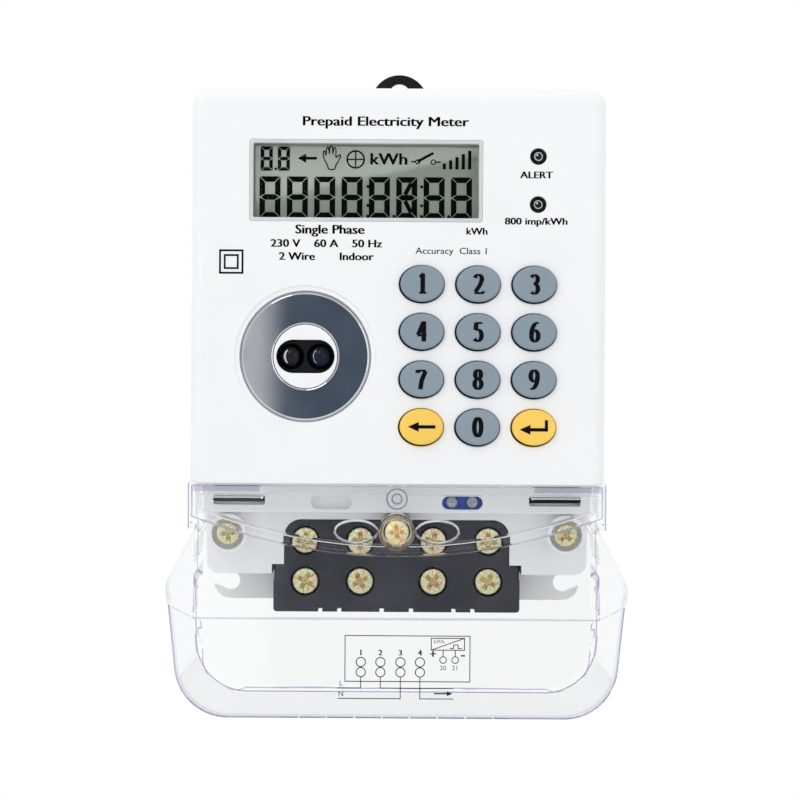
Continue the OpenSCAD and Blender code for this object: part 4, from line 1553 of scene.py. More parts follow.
@dataclass
class Display:
    """The window and the liquid crystal display behind it."""

    centre: Flat = Extent.of("display_window").centre
    width: float = 51.8
    height: float = 18.1
    rim: float = 0.8
    rim_back: float = 54.7
    pane_back: float = 56.2
    pane_sunk: float = 0.35
    front: float = SHELL.front
    panel: Extent = Extent.of("lcd_glass")
    rows: tuple[FigureRow, ...] = (FigureRow(8, -31.2, 35.05, 6.12, 4.7, 9.25, 1.25),
                                   FigureRow(2, -31, 45.55, 3.83, 2.72, 5.45, 0.8))
    dot: float = 0.72
    colon_columns: Flat = (-6.94, 5.1)
    colon_rows: Flat = (42.15, 37.9)
    stop_columns: tuple[float, ...] = (-6.94, -1.07, 5.1, 11.17)
    stop_row: float = 35.5
    small_dot: float = 0.6
    small_stop: Flat = (-27.6, 46)
    wheel: Flat = (-9.73, 48.2)
    wheel_radius: float = 1.9
    hand: Flat = (-15.1, 48.6)
    hand_size: Flat = (4.2, 5.4)
    unit: Flat = (-2.3, 48.2)
    bars: int = 5
    bars_at: Flat = (9.75, 46.1)
    bar_pitch: float = 1.42
    bar_step: float = 0.72

    def cuts(self) -> list[Solid]:
        """Returns the cutter of the window's opening."""
        return [opening(self.outline(0.1, 0.5), FACE_CUT, self.front, 0.15)]

    def outline(self, margin: float, radius: float) -> list[Flat]:
        """Makes the window's outline.

        Args:
            margin: How far it is grown.
            radius: The radius of its corners.

        Returns:
            The outline.
        """
        x, z = self.centre
        half = self.width / 2 + margin
        tall = self.height / 2 + margin
        return rounded_box((x - half, z - tall), (x + half, z + tall), radius, radius, 4)

    def stops(self) -> list[Solid]:
        """Draws the points between the figures and the one slanted pair of strokes.

        Returns:
            The marks.
        """
        depth = self.panel.front
        places = [(x, z) for x in self.colon_columns for z in self.colon_rows]
        places += [(x, self.stop_row) for x in self.stop_columns]
        marks = [film(ellipse(place, self.dot, self.dot, 16), depth) for place in places]
        marks.append(film(ellipse(self.small_stop, self.small_dot, self.small_dot, 16), depth))
        marks += [line((2.5, 42.5), (1.6, 40.8), 0.95, depth), line((1.6, 38.5), (2.5, 36.8), 0.95, depth)]
        return marks

    def symbols(self) -> list[Solid]:
        """Draws the arrow, the quartered wheel, the hand, the unit and the open switch.

        Returns:
            The symbols.
        """
        depth = self.panel.front
        x, z = self.wheel
        marks = [arrow((-22.7, 48.4), (-18.4, 48.4), 0.62, 2.1, 1.9, depth),
                 hoop(self.wheel, self.wheel_radius, 0.38, depth),
                 line((x - 1.77, z), (x + 1.78, z), 0.3, depth), line((x, z - 1.8), (x, z + 1.8), 0.3, depth)]
        (x, z), (wide, tall) = self.hand, self.hand_size
        hand = smoothed([(x + across * wide, z + up * tall) for across, up in HAND])
        marks += path_lines([*hand, hand[0]], 0.27, depth)
        marks.append(lettering("kWh", self.unit, 2.7, depth, 0.045, 1.15))
        marks += [line((2.8, 47.75), (3.6, 47.75), 0.32, depth), line((8.2, 47.7), (9.1, 47.7), 0.32, depth)]
        marks += [hoop((4.15, 47.75), 0.45, 0.26, depth), hoop((7.65, 47.7), 0.5, 0.26, depth)]
        marks.append(line((4.4, 47.95), (7.4, 49.6), 0.6, depth))
        return marks

    def signal(self) -> list[Solid]:
        """Draws the signal bars, each a step taller than the one before.

        Returns:
            The bars.
        """
        marks = []
        for i in range(self.bars):
            x, low = self.bars_at[0] + i * self.bar_pitch, self.bars_at[1]
            high = low + 1.3 + i * self.bar_step
            marks.append(film([(x, low), (x + 0.72, low), (x + 0.72, high), (x, high)], self.panel.front))
        return marks

    def segments(self) -> Solid:
        """Returns every figure and symbol of the display."""
        figures = [bar for row in self.rows for bar in row.printed(self.panel.front)]
        return joined(figures + self.stops() + self.symbols() + self.signal())

    def build(self) -> None:
        """Builds and dresses the display."""
        rim = Solid.prism(self.outline(0.12, 0.4), self.rim_back, self.front, 0.3)
        rim = rim - opening(self.outline(-self.rim, 0.3), self.rim_back - 0.7, self.front, 0.2)
        fit(rim.as_piece("window_rim", Finish.RIM), "case", "window_clear", "display_window")
        pane = Solid.prism(self.outline(-self.rim - 0.02, 0.3), self.pane_back,
                           self.front - self.pane_sunk, 0.15)
        fit(pane.as_piece("window_pane", Finish.WINDOW), "case", "window_clear", "display_window")
        box = self.panel
        panel = Solid.prism(rounded_box((box.left, box.low), (box.right, box.high), 0.3, 0.3, 3),
                            box.back, box.front, 0.2)
        fit(panel.as_piece("display_panel", Finish.PANEL), "case", "display_glass", "lcd_glass")
        segments = self.segments().as_piece("display_segments", Finish.SEGMENT)
        fit(segments, "case", "display_glass", "lcd_glass")


@dataclass
class Lamps:
    """The alarm lamp and the pulse lamp."""

    nodes: tuple[str, ...] = ("alarm_lamp", "pulse_lamp")
    radius: float = 1.65
    flange: float = 1.95
    flange_back: float = 51
    flange_front: float = 52.2
    hole: float = 3.7
    tip: float = SHELL.front
    dome_steps: int = 12
    lead_half: float = 0.25
    lead_back: float = 45.4

    def cuts(self) -> list[Solid]:
        """Returns the cutters of the lamps' holes."""
        return [opening(ellipse(Extent.of(node).centre, self.hole, self.hole, 48), FACE_CUT, self.tip, 0.2)
                for node in self.nodes]

    def lens(self, centre: Flat) -> Solid:
        """Makes a lamp's body with its domed tip.

        Args:
            centre: The lamp's middle.

        Returns:
            The body.
        """
        profile = [(AXIS, self.flange_back), (self.flange, self.flange_back),
                   (self.flange, self.flange_front), (self.radius, self.flange_front)]
        for across, rise in quarter(self.dome_steps):
            profile.append((max(AXIS, self.radius * across),
                            self.tip - 1.2 + (self.radius - 0.01) * rise * 0.72))
        return Solid.turned(centre, profile, 48)

    def build(self) -> None:
        """Builds and dresses the lamps."""
        for node in self.nodes:
            x, z = Extent.of(node).centre
            fit(self.lens((x, z)).as_piece(f"{node}_lens", Finish.EYE), "case", "lamp_plastic", node)
            # The grey dot on each dome's upper left is a painted highlight; the grey hoop is the lamp's die
            # cup.
            painted_glint = film(ellipse((x - 0.25, z + 0.3), 0.42, 0.42, 16), self.tip - 0.02)
            die_and_painted_glint = hoop((x, z), 0.85, 0.16, self.tip - 0.05).beside(painted_glint)
            fit(die_and_painted_glint.as_piece(f"{node}_die", Finish.RIM), "case", "lamp_plastic", node)
            half = self.lead_half
            leads = [Solid.box((x + side * 0.9 - half, z - half), (x + side * 0.9 + half, z + half),
                               self.lead_back, self.flange_back - 0.1) for side in SIDES]
            fit(joined(leads).as_piece(f"{node}_leads", Finish.TIN), "case", "tin_metal", node)


@dataclass
class OpticalPort:
    """The recess, steel ring, holder and the two lamp-like parts of the optical port."""

    box: Extent = Extent.of("port_ring")
    centre: Flat = box.centre
    recess: float = 16
    ledge: float = 57.6
    groove: float = 0.28
    island: float = 7.1
    island_front: float = 57.8
    slot: Flat = (13, 7.4)
    front: float = SHELL.front
    ring: float = 14.4
    bore: float = 7.25
    holder: Flat = (12.8, 7.2)
    holder_back: float = 48
    holder_front: float = 55.6
    eye: float = 2.5
    eye_back: float = 49
    eye_front: float = 57.19
    eye_steps: int = 16
    # Inner edges of the painted highlight slivers on the two eyes.
    cups: tuple[float, float] = (1.1, 1.42)

    def cuts(self) -> list[Solid]:
        """Makes the cutter of the recess, the ring's groove and the holder's opening.

        Returns:
            The cutter.
        """
        lip, floor, ring, island, top = 0.3, self.box.back, self.ring, self.island, self.island_front
        profile = [(AXIS, top), (island - 0.3, top), (island - 0.08, top - 0.08), (island, top - 0.3),
                   (island, floor), (ring + self.groove, floor), (ring + self.groove, self.ledge - 0.1),
                   (ring + 0.4, self.ledge), (self.recess - lip - 0.1, self.ledge)]
        profile += [(self.recess - lip * across, self.front - lip + lip * rise)
                    for across, rise in quarter(6)]
        profile += [(self.recess, self.front + CLEAR), (AXIS, self.front + CLEAR)]
        dish = Solid.turned(self.centre, profile, 128)
        return [dish + opening(pill(self.centre, *self.slot), 52, top, 0.25)]

    def steel_ring(self) -> Solid:
        """Makes the ring with its bevelled outer edge.

        Returns:
            The ring.
        """
        outer, inner, back, front = self.ring, self.bore, self.box.back, self.box.front
        profile = [(inner, back), (outer - 0.1, back), (outer, back + 0.15), (outer, front - 0.5),
                   (outer - 0.12, front - 0.3), (outer - 0.55, front), (inner + 0.3, front),
                   (inner + 0.08, front - 0.08), (inner, front - 0.3)]
        rings = [[at(x, z, depth) for x, z in ellipse(self.centre, 2 * radius, 2 * radius, 160)]
                 for radius, depth in profile]
        return Solid.loft(rings, closed=True)

    def holder_body(self) -> Solid:
        """Makes the black holder with a well for each eye.

        Returns:
            The holder.
        """
        body = Solid.prism(pill(self.centre, *self.holder), self.holder_back, self.holder_front, 0.3)
        wide, mouth = self.eye + 0.1, self.eye + 0.6
        back, front = self.holder_back - CLEAR, self.holder_front
        profile = [(AXIS, back), (wide, back), (wide, front - 0.9), (wide + 0.15, front - 0.3),
                   (mouth, front + 0.1), (mouth, front + 1.4), (AXIS, front + 1.4)]
        for node in ("port_emitter", "port_receiver"):
            body = body - Solid.turned(Extent.of(node).centre, profile, 64)
        return body

    def dome(self, centre: Flat) -> Solid:
        """Makes an eye: a round rod with a domed tip.

        Args:
            centre: The eye's middle.

        Returns:
            The eye.
        """
        profile = [(AXIS, self.eye_back), (self.eye, self.eye_back)]
        rise = self.eye - 0.01
        for across, up in quarter(self.eye_steps):
            profile.append((max(AXIS, self.eye * across), self.eye_front - rise + rise * up))
        return Solid.turned(centre, profile, 64)

    @staticmethod
    def cup(centre: Flat, inner: float) -> Solid:
        """Makes a bright metal sliver laid on an eye's dome: a painted highlight, shaped as the reflector cup
        that shows in the eye.

        Args:
            centre: The eye's middle.
            inner: How far the sliver's inner edge is from the middle.

        Returns:
            The sliver.
        """
        x, z = centre
        turns = [math.radians(118 + 124 * i / 16) for i in range(17)]
        outline = [(x + 1.55 * math.cos(t), z + 1.75 * math.sin(t)) for t in turns]
        outline += [(x + inner * math.cos(t), z + 1.65 * math.sin(t)) for t in reversed(turns[1:-1])]
        return film(anticlockwise(outline), 57.1)

    def build(self) -> None:
        """Builds and dresses the port."""
        piece = self.steel_ring().as_piece("port_steel_ring", crease=15)
        steel = PolishedRing("ring_steel", at(*self.centre, self.box.front))
        piece.data.materials.append(material_of(steel))
        fit(piece, "case", "port_steel", "port_ring")
        holder = self.holder_body().as_piece("port_eye_holder", Finish.BLACK)
        fit(holder, "case", "black_plastic", "port_holder")
        # Each eye's dome carries a tin sliver as a painted highlight.
        for node, finish, inner in (("port_emitter", Finish.EYE, self.cups[0]),
                                    ("port_receiver", Finish.EYE_BLUE, self.cups[1])):
            centre = Extent.of(node).centre
            fit(self.dome(centre).as_piece(f"{node}_dome", finish), "case", "eye_plastic", node)
            cup = self.cup(centre, inner).as_piece(f"{node}_cup", Finish.TIN)
            fit(cup, "case", "eye_plastic", node)


class KeyFace(Enum):
    """What a key shows."""

    DIGIT = "digit"
    BACK = "back"
    ENTER = "enter"

    @classmethod
    def of(cls, label: str) -> "KeyFace":
        """Returns what the key with a label shows."""
        return cls.DIGIT if label.isdigit() else cls(label)


@dataclass
class Keypad:
    """Twelve keys in four rows."""

    labels: tuple[str, ...] = ("1", "2", "3", "4", "5", "6", "7", "8", "9", "back", "0", "enter")
    marked: str = "5"
    width: float = 9.7
    height: float = 8.0
    gap: float = 0.24
    lean: float = 0.12
    top: float = 59.25
    edge: float = 0.55
    cap_back: float = 55.15
    flange: tuple[float, float] = (1.7, 1.5)
    flange_back: float = 53.9
    flange_front: float = 55.1
    stem: float = 3
    stem_back: float = 49.7
    front: float = SHELL.front
    arrow_half: float = 3
    shaft: float = 0.75
    barb: Flat = (2.2, 2.4)
    riser: float = 0.7
    enter_low: float = 0.5
    enter_high: float = 1.3
    pip: float = 0.6
    pip_at: float = 3.5
    pen: BroadPen = field(default_factory=lambda: BroadPen(4.5))

    def cuts(self) -> list[Solid]:
        """Returns the cutters of the keys' holes."""
        wide, tall = self.width + 2 * self.gap, self.height + 2 * self.gap
        return [opening(ellipse(Extent.of(f"key_{label}").centre, wide, tall), FACE_CUT, self.front, 0.25)
                for label in self.labels]

    def carrier(self, centre: Flat) -> Solid:
        """Makes the flange and stem that carry a key's cap, which are dressed black as painted shade in the
        gap round the cap.

        Args:
            centre: The key's middle.

        Returns:
            The flange and the stem.
        """
        outline = ellipse(centre, self.width + self.flange[0], self.height + self.flange[1])
        flange = Solid.prism(outline, self.flange_back, self.flange_front, 0.2)
        back, front = self.stem_back, self.flange_back - 0.05
        profile = [(AXIS, back), (self.stem - 0.2, back), (self.stem, back + 0.2), (self.stem, front),
                   (AXIS, front)]
        return flange.beside(Solid.turned(centre, profile, 32))

    def cap(self, centre: Flat) -> Solid:
        """Makes a key's cap with its rounded rim.

        Args:
            centre: The key's middle.

        Returns:
            The cap.
        """
        outline = ellipse(centre, self.width, self.height)
        rings = [[at(x, z, self.cap_back) for x, z in outline]]
        for across, rise in quarter(6):
            ring = grown(outline, -self.edge * (1 - across))
            rings.append([at(x, z, self.top - self.edge + self.edge * rise) for x, z in ring])
        return Solid.loft(rings)

    def print_on(self, label: str, centre: Flat) -> Solid:
        """Draws what is printed on a key.

        Args:
            label: The key's label.
            centre: The key's middle.

        Returns:
            The print.
        """
        x, z = centre
        face = KeyFace.of(label)
        if face is KeyFace.DIGIT:
            return self.pen.numeral(int(label), centre, self.top)
        reach, tail = self.arrow_half, x + self.arrow_half + 0.1
        if face is KeyFace.BACK:
            return arrow((x - reach, z), (tail, z), self.shaft, *self.barb, self.top)
        low = z - self.enter_low
        head = arrow((x - reach - 0.2, low), (tail, low), self.shaft, *self.barb, self.top)
        x = tail - self.riser / 2
        return head.beside(line((x, low), (x, z + self.enter_high), self.riser, self.top))

    def build(self) -> None:
        """Builds and dresses the keys."""
        for label in self.labels:
            node = f"key_{label}"
            centre = tuple(value + self.lean for value in Extent.of(node).centre)
            plain = KeyFace.of(label) is KeyFace.DIGIT
            slot = "key_grey" if plain else "key_yellow"
            finish = Finish.KEY_GREY if plain else Finish.KEY_YELLOW
            fit(self.cap(centre).as_piece(f"{node}_cap", finish), node, slot, node)
            # The carrier is black moulding rather than its grey rubber: painted shade in the gap round the
            # cap.
            fit(self.carrier(centre).as_piece(f"{node}_carrier", Finish.BLACK), node, "mat_rubber", node)
            fit(self.print_on(label, centre).as_piece(f"{node}_print", Finish.INK), node, slot, node)
            if label == self.marked:
                outline = ellipse((centre[0] + self.pip_at, centre[1]), self.pip, self.pip, 24)
                pip = Solid.prism(outline, self.top - 0.1, self.top + 0.04, 0.04)
                fit(pip.as_piece(f"{node}_pip", Finish.KEY_GREY), node, slot, node)


@dataclass(frozen=True)
class Caption:
    """A line of lettering on the face."""

    text: str
    centre: Flat
    height: float
    bold: float
    squeeze: float

    def printed(self, depth: float) -> Solid:
        """Returns the line as print on a surface at a depth."""
        return lettering(self.text, self.centre, self.height, depth, self.bold, self.squeeze)


@dataclass
class FacePrint:
    """What is printed on the case's face."""

    depth: float = SHELL.front
    captions: tuple[Caption, ...] = (
        Caption("Prepaid Electricity Meter", (-3.1, 56.3), 2.2, 0.05, 1.22),
        Caption("Single Phase", (-15.3, 32.2), 2.1, 0.055, 1.1),
        Caption("230 V    60 A    50 Hz", (-16.1, 29.1), 1.8, 0.055, 1.12),
        Caption("2 Wire       Indoor", (-16.1, 26.2), 1.8, 0.055, 1.12),
        Caption("kWh", (17.4, 32), 1.6, 0.05, 1.1),
        Caption("ALERT", (30.6, 44.6), 1.6, 0.055, 1.15),
        Caption("800 imp/kWh", (30.6, 34.3), 1.6, 0.055, 1.15),
        Caption("Accuracy  Class 1", (11.9, 27.6), 1.5, 0.01, 1.1))
    insulation_mark: Flat = (-37.2, 25)
    insulation_sizes: Flat = (5, 2.9)

    def build(self) -> None:
        """Builds and dresses the print."""
        parts = [caption.printed(self.depth) for caption in self.captions]
        x, z = self.insulation_mark
        for size in self.insulation_sizes:
            half = size / 2
            parts += frame_line((x - half, z - half), (x + half, z + half), 0.42, self.depth)
        fit(joined(parts).as_piece("face_print", Finish.INK), "case", "case_white", "front_cover")


@dataclass
class Screws:
    """Cross-recess screws of one kind, with their heads to the front."""

    name: str
    node: str
    body: str
    finish: Finish
    places: list[Flat]
    head: float
    shank: float
    seat: float
    seed: int

    def head_and_shank(self) -> Solid:
        """Makes one screw without its recess, standing on x = 0 and z = 0.

        Returns:
            The screw.
        """
        box = Extent.of(self.node)
        edge = self.head * 0.12
        profile = [(AXIS, box.back), (self.shank * 0.6, box.back), (self.shank, box.back + 0.4),
                   (self.shank, self.seat), (self.head - 0.1, self.seat), (self.head, self.seat + 0.1)]
        for across, rise in quarter(4):
            profile.append((self.head - edge * (1 - across), box.front - edge + edge * rise))
        profile.append((AXIS, box.front))
        return Solid.turned((0, 0), profile, 48)

    def blank(self) -> Solid:
        """Makes one screw with its cross recess, standing on x = 0 and z = 0.

        Returns:
            The screw, which carries each point's place on it as an attribute.
        """
        screw = self.head_and_shank()
        top = Extent.of(self.node).front
        reach, floor = self.head * 0.62, top - self.head * 0.42
        wide, narrow = self.head * 0.17, self.head * 0.09
        steps = ((0.45, narrow, floor), (1, wide, top), (1.05, wide * 1.05, top + 0.3))
        for upright in (False, True):
            rings = []
            for share, half, depth in steps:
                dx, dz = (half, reach * share) if upright else (reach * share, half)
                rings.append([at(x, z, depth) for x, z in ((-dx, -dz), (dx, -dz), (dx, dz), (-dx, dz))])
            screw = screw - Solid.loft(rings)
        local = screw.mesh.attributes.new("screw_place", "FLOAT_VECTOR", "POINT")
        local.data.foreach_set("vector", [c for v in screw.mesh.vertices for c in v.co])
        return screw

    def build(self, repeater: Repeater) -> None:
        """Builds the screws, sets them in place with a repeater and dresses them."""
        mesh = repeater.mesh(self.blank(), self.places, self.finish, 360, self.seed)
        fit(Solid(mesh).as_piece(self.name), self.body, "zinc_yellow", self.node)


@dataclass
class WiringDiagram:
    """The wiring diagram that is printed on the terminal cover."""

    depth: float
    thin: float = 0.2
    shift: float = 0.5
    columns: tuple[float, ...] = (-8.5, -4.05, 0.5, 4.95)
    upper: float = -65.3
    lower: float = -67.6
    hoop_radius: float = 1.05
    feed: float = -71.2
    back: float = -73.6
    supply: float = -13.6
    load: float = 12.5
    meter_low: Flat = (7.5, -62.5)
    meter_high: Flat = (15.05, -59.8)

    def wiring(self) -> list[Solid]:
        """Draws the frame, the four terminals and the lines to the supply and the load.

        Returns:
            The lines and numbers.
        """
        depth, thin = self.depth, self.thin
        marks = frame_line((-12.1, -69.7), (16.3, -59.3), thin, depth)
        for number, x in enumerate(self.columns, start=1):
            marks.append(lettering(str(number), (x, -63.2), 1.35, depth, 0.05))
            marks += [hoop((x, z), self.hoop_radius, 0.22, depth) for z in (self.upper, self.lower)]
        top = self.lower - self.hoop_radius - 0.05
        live_in, live_out, neutral_in, neutral_out = self.columns
        for x, level, end in ((live_in, self.feed, self.supply), (neutral_in, self.back, self.supply),
                              (live_out, self.feed, self.load), (neutral_out, self.back, self.load)):
            marks += path_lines([(x, top), (x, level), (end, level)], thin, depth)
        name_x = self.supply + 0.6
        marks += [lettering("L", (name_x, self.feed + 1), 1.2, depth),
                  lettering("N", (name_x, self.back + 1), 1.2, depth)]
        middle = (self.feed + self.back) / 2
        marks.append(arrow((12.4, middle), (8.2, middle), 0.3, 1.1, 1.3, depth))
        return marks

    def pulse_output(self) -> list[Solid]:
        """Draws the meter's box with its pulse, and the pulse output's two poles.

        Returns:
            The lines, numbers and signs.
        """
        depth, thin = self.depth, self.thin
        marks = frame_line(self.meter_low, self.meter_high, thin, depth)
        marks += [line(self.meter_low, self.meter_high, thin, depth),
                  lettering("kWh", (9.3, -60.6), 0.9, depth)]
        low, high = -62.1, -61.3
        marks += path_lines([(11.8, low), (12.6, low), (12.6, high), (13.6, high), (13.6, low), (14.4, low)],
                            thin, depth)
        for x, number in ((10.2, "20"), (12.95, "21")):
            marks += [line((x, self.meter_low[1]), (x, -64), thin, depth),
                      hoop((x, -64.75), 0.75, thin, depth), lettering(number, (x, -66.6), 1.1, depth)]
        marks += [lettering("+", (7.9, -63.5), 2.0, depth, 0.04),
                  lettering("-", (14.7, -63.5), 2.4, depth, 0.04)]
        return marks

    def drawn(self) -> Solid:
        """Returns the whole diagram in its place."""
        return joined(self.wiring() + self.pulse_output()).moved(self.shift)


COVER_BOX = Extent.of("terminal_cover")


@dataclass
class ClearCover:
    """The clear terminal cover: a band over the ledge and a flared tub below it."""

    band_half: float = 45.9
    band_top: float = COVER_BOX.high
    band_low: float = -40.5
    arc: float = 125
    depth: float = 44
    front: float = SHELL.front
    rear: float = COVER_BOX.back
    wall: float = 2
    side_wall: float = 1.5
    crease: float = -55.5
    crease_half: float = 46.3
    step: float = 0.4
    flare_top: float = -35
    collar: float = 47.6
    front_low: float = -72.8
    front_corner: float = 12.3
    shoulder: Flat = (55.9, -50.7)
    shoulder_corner: float = 8
    foot: Flat = (52.5, -83)
    foot_corner: float = 13.4
    screw: Flat = (0, -35.1)
    screw_column: float = 4.1
    screw_top: float = COVER_BOX.front
    seal: Flat = (0, -27.6)
    seal_radius: float = 2.45
    tongue_at: Flat = (35.7, -27.6)
    tongue_half: float = 5.3
    tongue_thick: float = 0.5
    lens_at: Flat = (9.05, -34.9)
    lens_size: Flat = (9.1, 4.4)
    knock_outs: int = 8
    knock_out_left: float = -23.65
    knock_out_pitch: float = 6.686
    knock_out_width: float = 0.5

    def band(self, half: float, top: float, low: float) -> list[Flat]:
        """Makes the band's outline, straight above and an arc below.

        Args:
            half: Half its width.
            top: Its upper edge.
            low: The lowest point of the arc.

        Returns:
            The outline.
        """
        centre = low + self.arc
        points = [(half, top), (-half, top)]
        steps = 48
        for i in range(steps + 1):
            x = -half + 2 * half * i / steps
            points.append((x, centre - math.sqrt(self.arc ** 2 - x * x)))
        return points

    def tub_front(self, inset: float) -> list[Flat]:
        """Returns the outline of the tub's front, moved in by an inset."""
        half = self.band_half - inset
        return rounded(mirrored([(half, self.flare_top, 0), (self.crease_half - inset, self.crease, 0),
                                 (half, self.front_low + inset, self.front_corner - inset)]), 16)

    def tub_rear(self, inset: float) -> list[Flat]:
        """Returns the outline of the tub's rear rim, moved in by an inset."""
        (wide, middle), (narrow, low) = self.shoulder, self.foot
        return rounded(mirrored([(self.collar - inset, self.flare_top, 0),
                                 (wide - inset, middle, self.shoulder_corner - inset),
                                 (narrow - inset, low + inset, self.foot_corner - inset)]), 16)

    def tub(self, inset: float, front: float, back: float) -> Solid:
        """Returns the flared tub, filled."""
        return Solid.hull((self.tub_front(inset), front), (self.tub_rear(inset), back))

    def outside(self) -> Solid:
        """Makes the cover without its hollow.

        Returns:
            The filled cover.
        """
        skin = 0.01
        band = Solid.prism(self.band(self.band_half, self.band_top, self.band_low), self.depth - self.wall,
                           self.front, 0.5)
        collar = Solid.box((-self.collar, self.flare_top - 0.1), (self.collar, self.band_top),
                           self.rear, self.depth)
        above = Solid.box((-90, self.crease), (90, 0), -1, self.front)
        upper = self.tub(skin, self.depth, self.rear) & above
        lower = self.tub(self.step + skin, self.depth - self.step, self.rear)
        return upper + lower + collar + band

    def inside(self) -> Solid:
        """Makes the cover's hollow. Its cutters end at different depths, so no two faces meet.

        Returns:
            The cutter.
        """
        wall, back, top = self.wall, self.rear - CLEAR, self.band_top + CLEAR
        half = self.band_half - self.side_wall
        band = Solid.prism(self.band(half, self.band_top - wall, self.band_low + wall), back,
                           self.front - wall, 0.4)
        collar = Solid.box((-self.collar + wall, self.flare_top - CLEAR), (self.collar - wall, top),
                           back - 0.1, self.depth - wall)
        over = Solid.box((-half, -31.2), (half, top + 0.1), self.rear + 0.1, 46.6)
        tub = self.tub(wall, self.depth - wall, self.rear - STAGGER)
        return tub + collar + over + band

    def columns(self) -> Solid:
        """Makes the screw column, the seal boss and the two tongues.

        Returns:
            All of them, apart from each other.
        """
        wide, narrow, top = self.screw_column, 3.4, self.screw_top
        screw = Solid.turned(self.screw, [(AXIS, 40.4), (narrow - 0.2, 40.4), (narrow, 40.6), (narrow, 46.6),
                                          (wide, 46.6), (wide, top - 0.3), (wide - 0.15, top - 0.1),
                                          (wide - 0.4, top), (AXIS, top)])
        radius, level = self.seal_radius, self.front - 0.1
        seal = Solid.turned(self.seal, [(AXIS, 46.8), (radius, 46.8), (radius, level), (AXIS, level)], 48)
        tongues = []
        for side in SIDES:
            x, z, half = side * self.tongue_at[0], self.tongue_at[1], self.tongue_half
            tongues.append(Solid.box((x - half, z - self.tongue_thick), (x + half, z), self.depth,
                                     self.front - CLEAR))
        return joined([screw, seal, *tongues])

    def holes(self) -> list[Solid]:
        """Makes the cutters of the screw well, seal hole, knock-out lines, groove and lenses.

        Returns:
            The cutters.
        """
        top = self.screw_top
        well = Solid.turned(self.screw, [(AXIS, 39), (2.15, 39), (2.15, 53), (3.1, 53), (3.1, top - 0.4),
                                         (3.2, top - 0.15), (3.5, top + 0.01), (3.5, 60), (AXIS, 60)])
        seal = Solid.turned(self.seal, [(AXIS, 50), (0.9, 50), (0.9, 59), (AXIS, 59)], 32)
        low = self.foot[1]
        lines = []
        for i in range(self.knock_outs):
            left = self.knock_out_left + i * self.knock_out_pitch
            lines.append(Solid.box((left, low - CLEAR), (left + self.knock_out_width, low + 1.2), 3, 22))
        return [well, seal, *lines, self.groove(), *self.lenses()]

    def groove(self) -> Solid:
        """Returns the cutter of the fine line round the tub at its crease."""
        band = Solid.box((-70, self.crease - 0.3), (70, self.crease + 0.25), self.rear - 2, self.depth + 3)
        return band - self.tub(self.step + 0.35, self.depth - self.step - 0.35, self.rear - 4)

    def lenses(self) -> list[Solid]:
        """Returns the cutters of the two eye-shaped hollows beside the screw."""
        x, z = self.lens_at
        return [opening(ellipse((side * x, z), *self.lens_size), 56.7, self.front, 0.6) for side in SIDES]

    @staticmethod
    def rim(outer: Sequence[Flat], inner: Sequence[Flat], back: float, front: float) -> Solid:
        """Returns a rim between two outlines with as many points each, from back to front."""
        rings = [[at(x, z, depth) for x, z in outline]
                 for outline, depth in ((outer, back), (outer, front), (inner, front), (inner, back))]
        return Solid.loft(rings, closed=True)

    def edges(self) -> Solid:
        """Makes darker clear beads, ribs, hoops and lines along the cover's outlines and its crease: painted
        shade and painted reflection where the clear edges catch the light.

        Returns:
            All of them in one mesh.
        """
        face, rear, top = self.depth - self.step, self.rear, self.band_top
        # Every part here is dark-tinted clear: painted shade and painted reflection lines along the outlines,
        # the crease and the seal.
        parts = [self.rim(self.tub_rear(self.step + 0.02), self.tub_rear(self.step + 0.55),
                          rear, rear + 1.4),
                 self.rim(self.tub_front(self.step + 0.2), self.tub_front(self.step + 0.5),
                          face, face + FILM),
                 self.rim(self.tub_rear(2.6), self.tub_rear(2.9), rear + 0.2, rear + 1.2)]
        half = self.crease_half - 0.2
        parts.append(line((-half, self.crease), (half, self.crease), 0.35, self.depth))
        outer, inner = (self.band(self.band_half - inset, top - inset, self.band_low + inset)
                        for inset in (0.12, 0.4))
        parts.append(self.rim(outer, inner, self.front, self.front + FILM))
        parts += [hoop(self.seal, 2.25, 0.32, self.front), hoop(self.seal, 1.1, 0.3, self.front)]
        for side in SIDES:
            x, half = side * 38, 7.4
            parts.append(Solid.box((x - half, top - 1.5), (x + half, top - 0.3),
                                   self.front - 0.9, self.front - 0.2))
            x = side * (self.collar - 0.2)
            parts.append(line((x, top - 0.3), (x, self.flare_top), 0.3, self.depth))
        return joined(parts)

    def build(self) -> None:
        """Builds and dresses the cover."""
        cover = self.outside() - self.inside()
        cover = (cover + self.columns()) - joined(self.holes())
        diagram = WiringDiagram(self.depth - self.step).drawn()
        for solid, name, finish in ((cover, "clear_cover", Finish.COVER),
                                    (self.edges(), "cover_edges", Finish.COVER_EDGE),
                                    (diagram, "wiring_print", Finish.INK_GREY)):
            fit(solid.as_piece(name, finish), "cover", "clear_plastic", "terminal_cover")


@dataclass
class Hanger:
    """The sliding hanger above the case."""

    box: Extent = Extent.of("hanger")
    eye: Flat = (0, 67.7)
    eye_width: float = 5

    def build(self) -> None:
        """Builds and dresses the hanger."""
        half, low = self.box.right, self.box.low
        head = self.box.high - half
        turns = [math.pi * i / 48 for i in range(49)]
        arc = [(half * math.cos(t), head + half * math.sin(t)) for t in turns]
        plate = Solid.prism([(-half, low), (half, low), *arc], self.box.back, self.box.front, 0.3)
        eye = opening(ellipse(self.eye, self.eye_width, self.eye_width, 48), 0, self.box.front, 0.3)
        fit((plate - eye).as_piece("hanger_strip", Finish.BLACK), "hanger", "black_plastic", "hanger")


# Scene


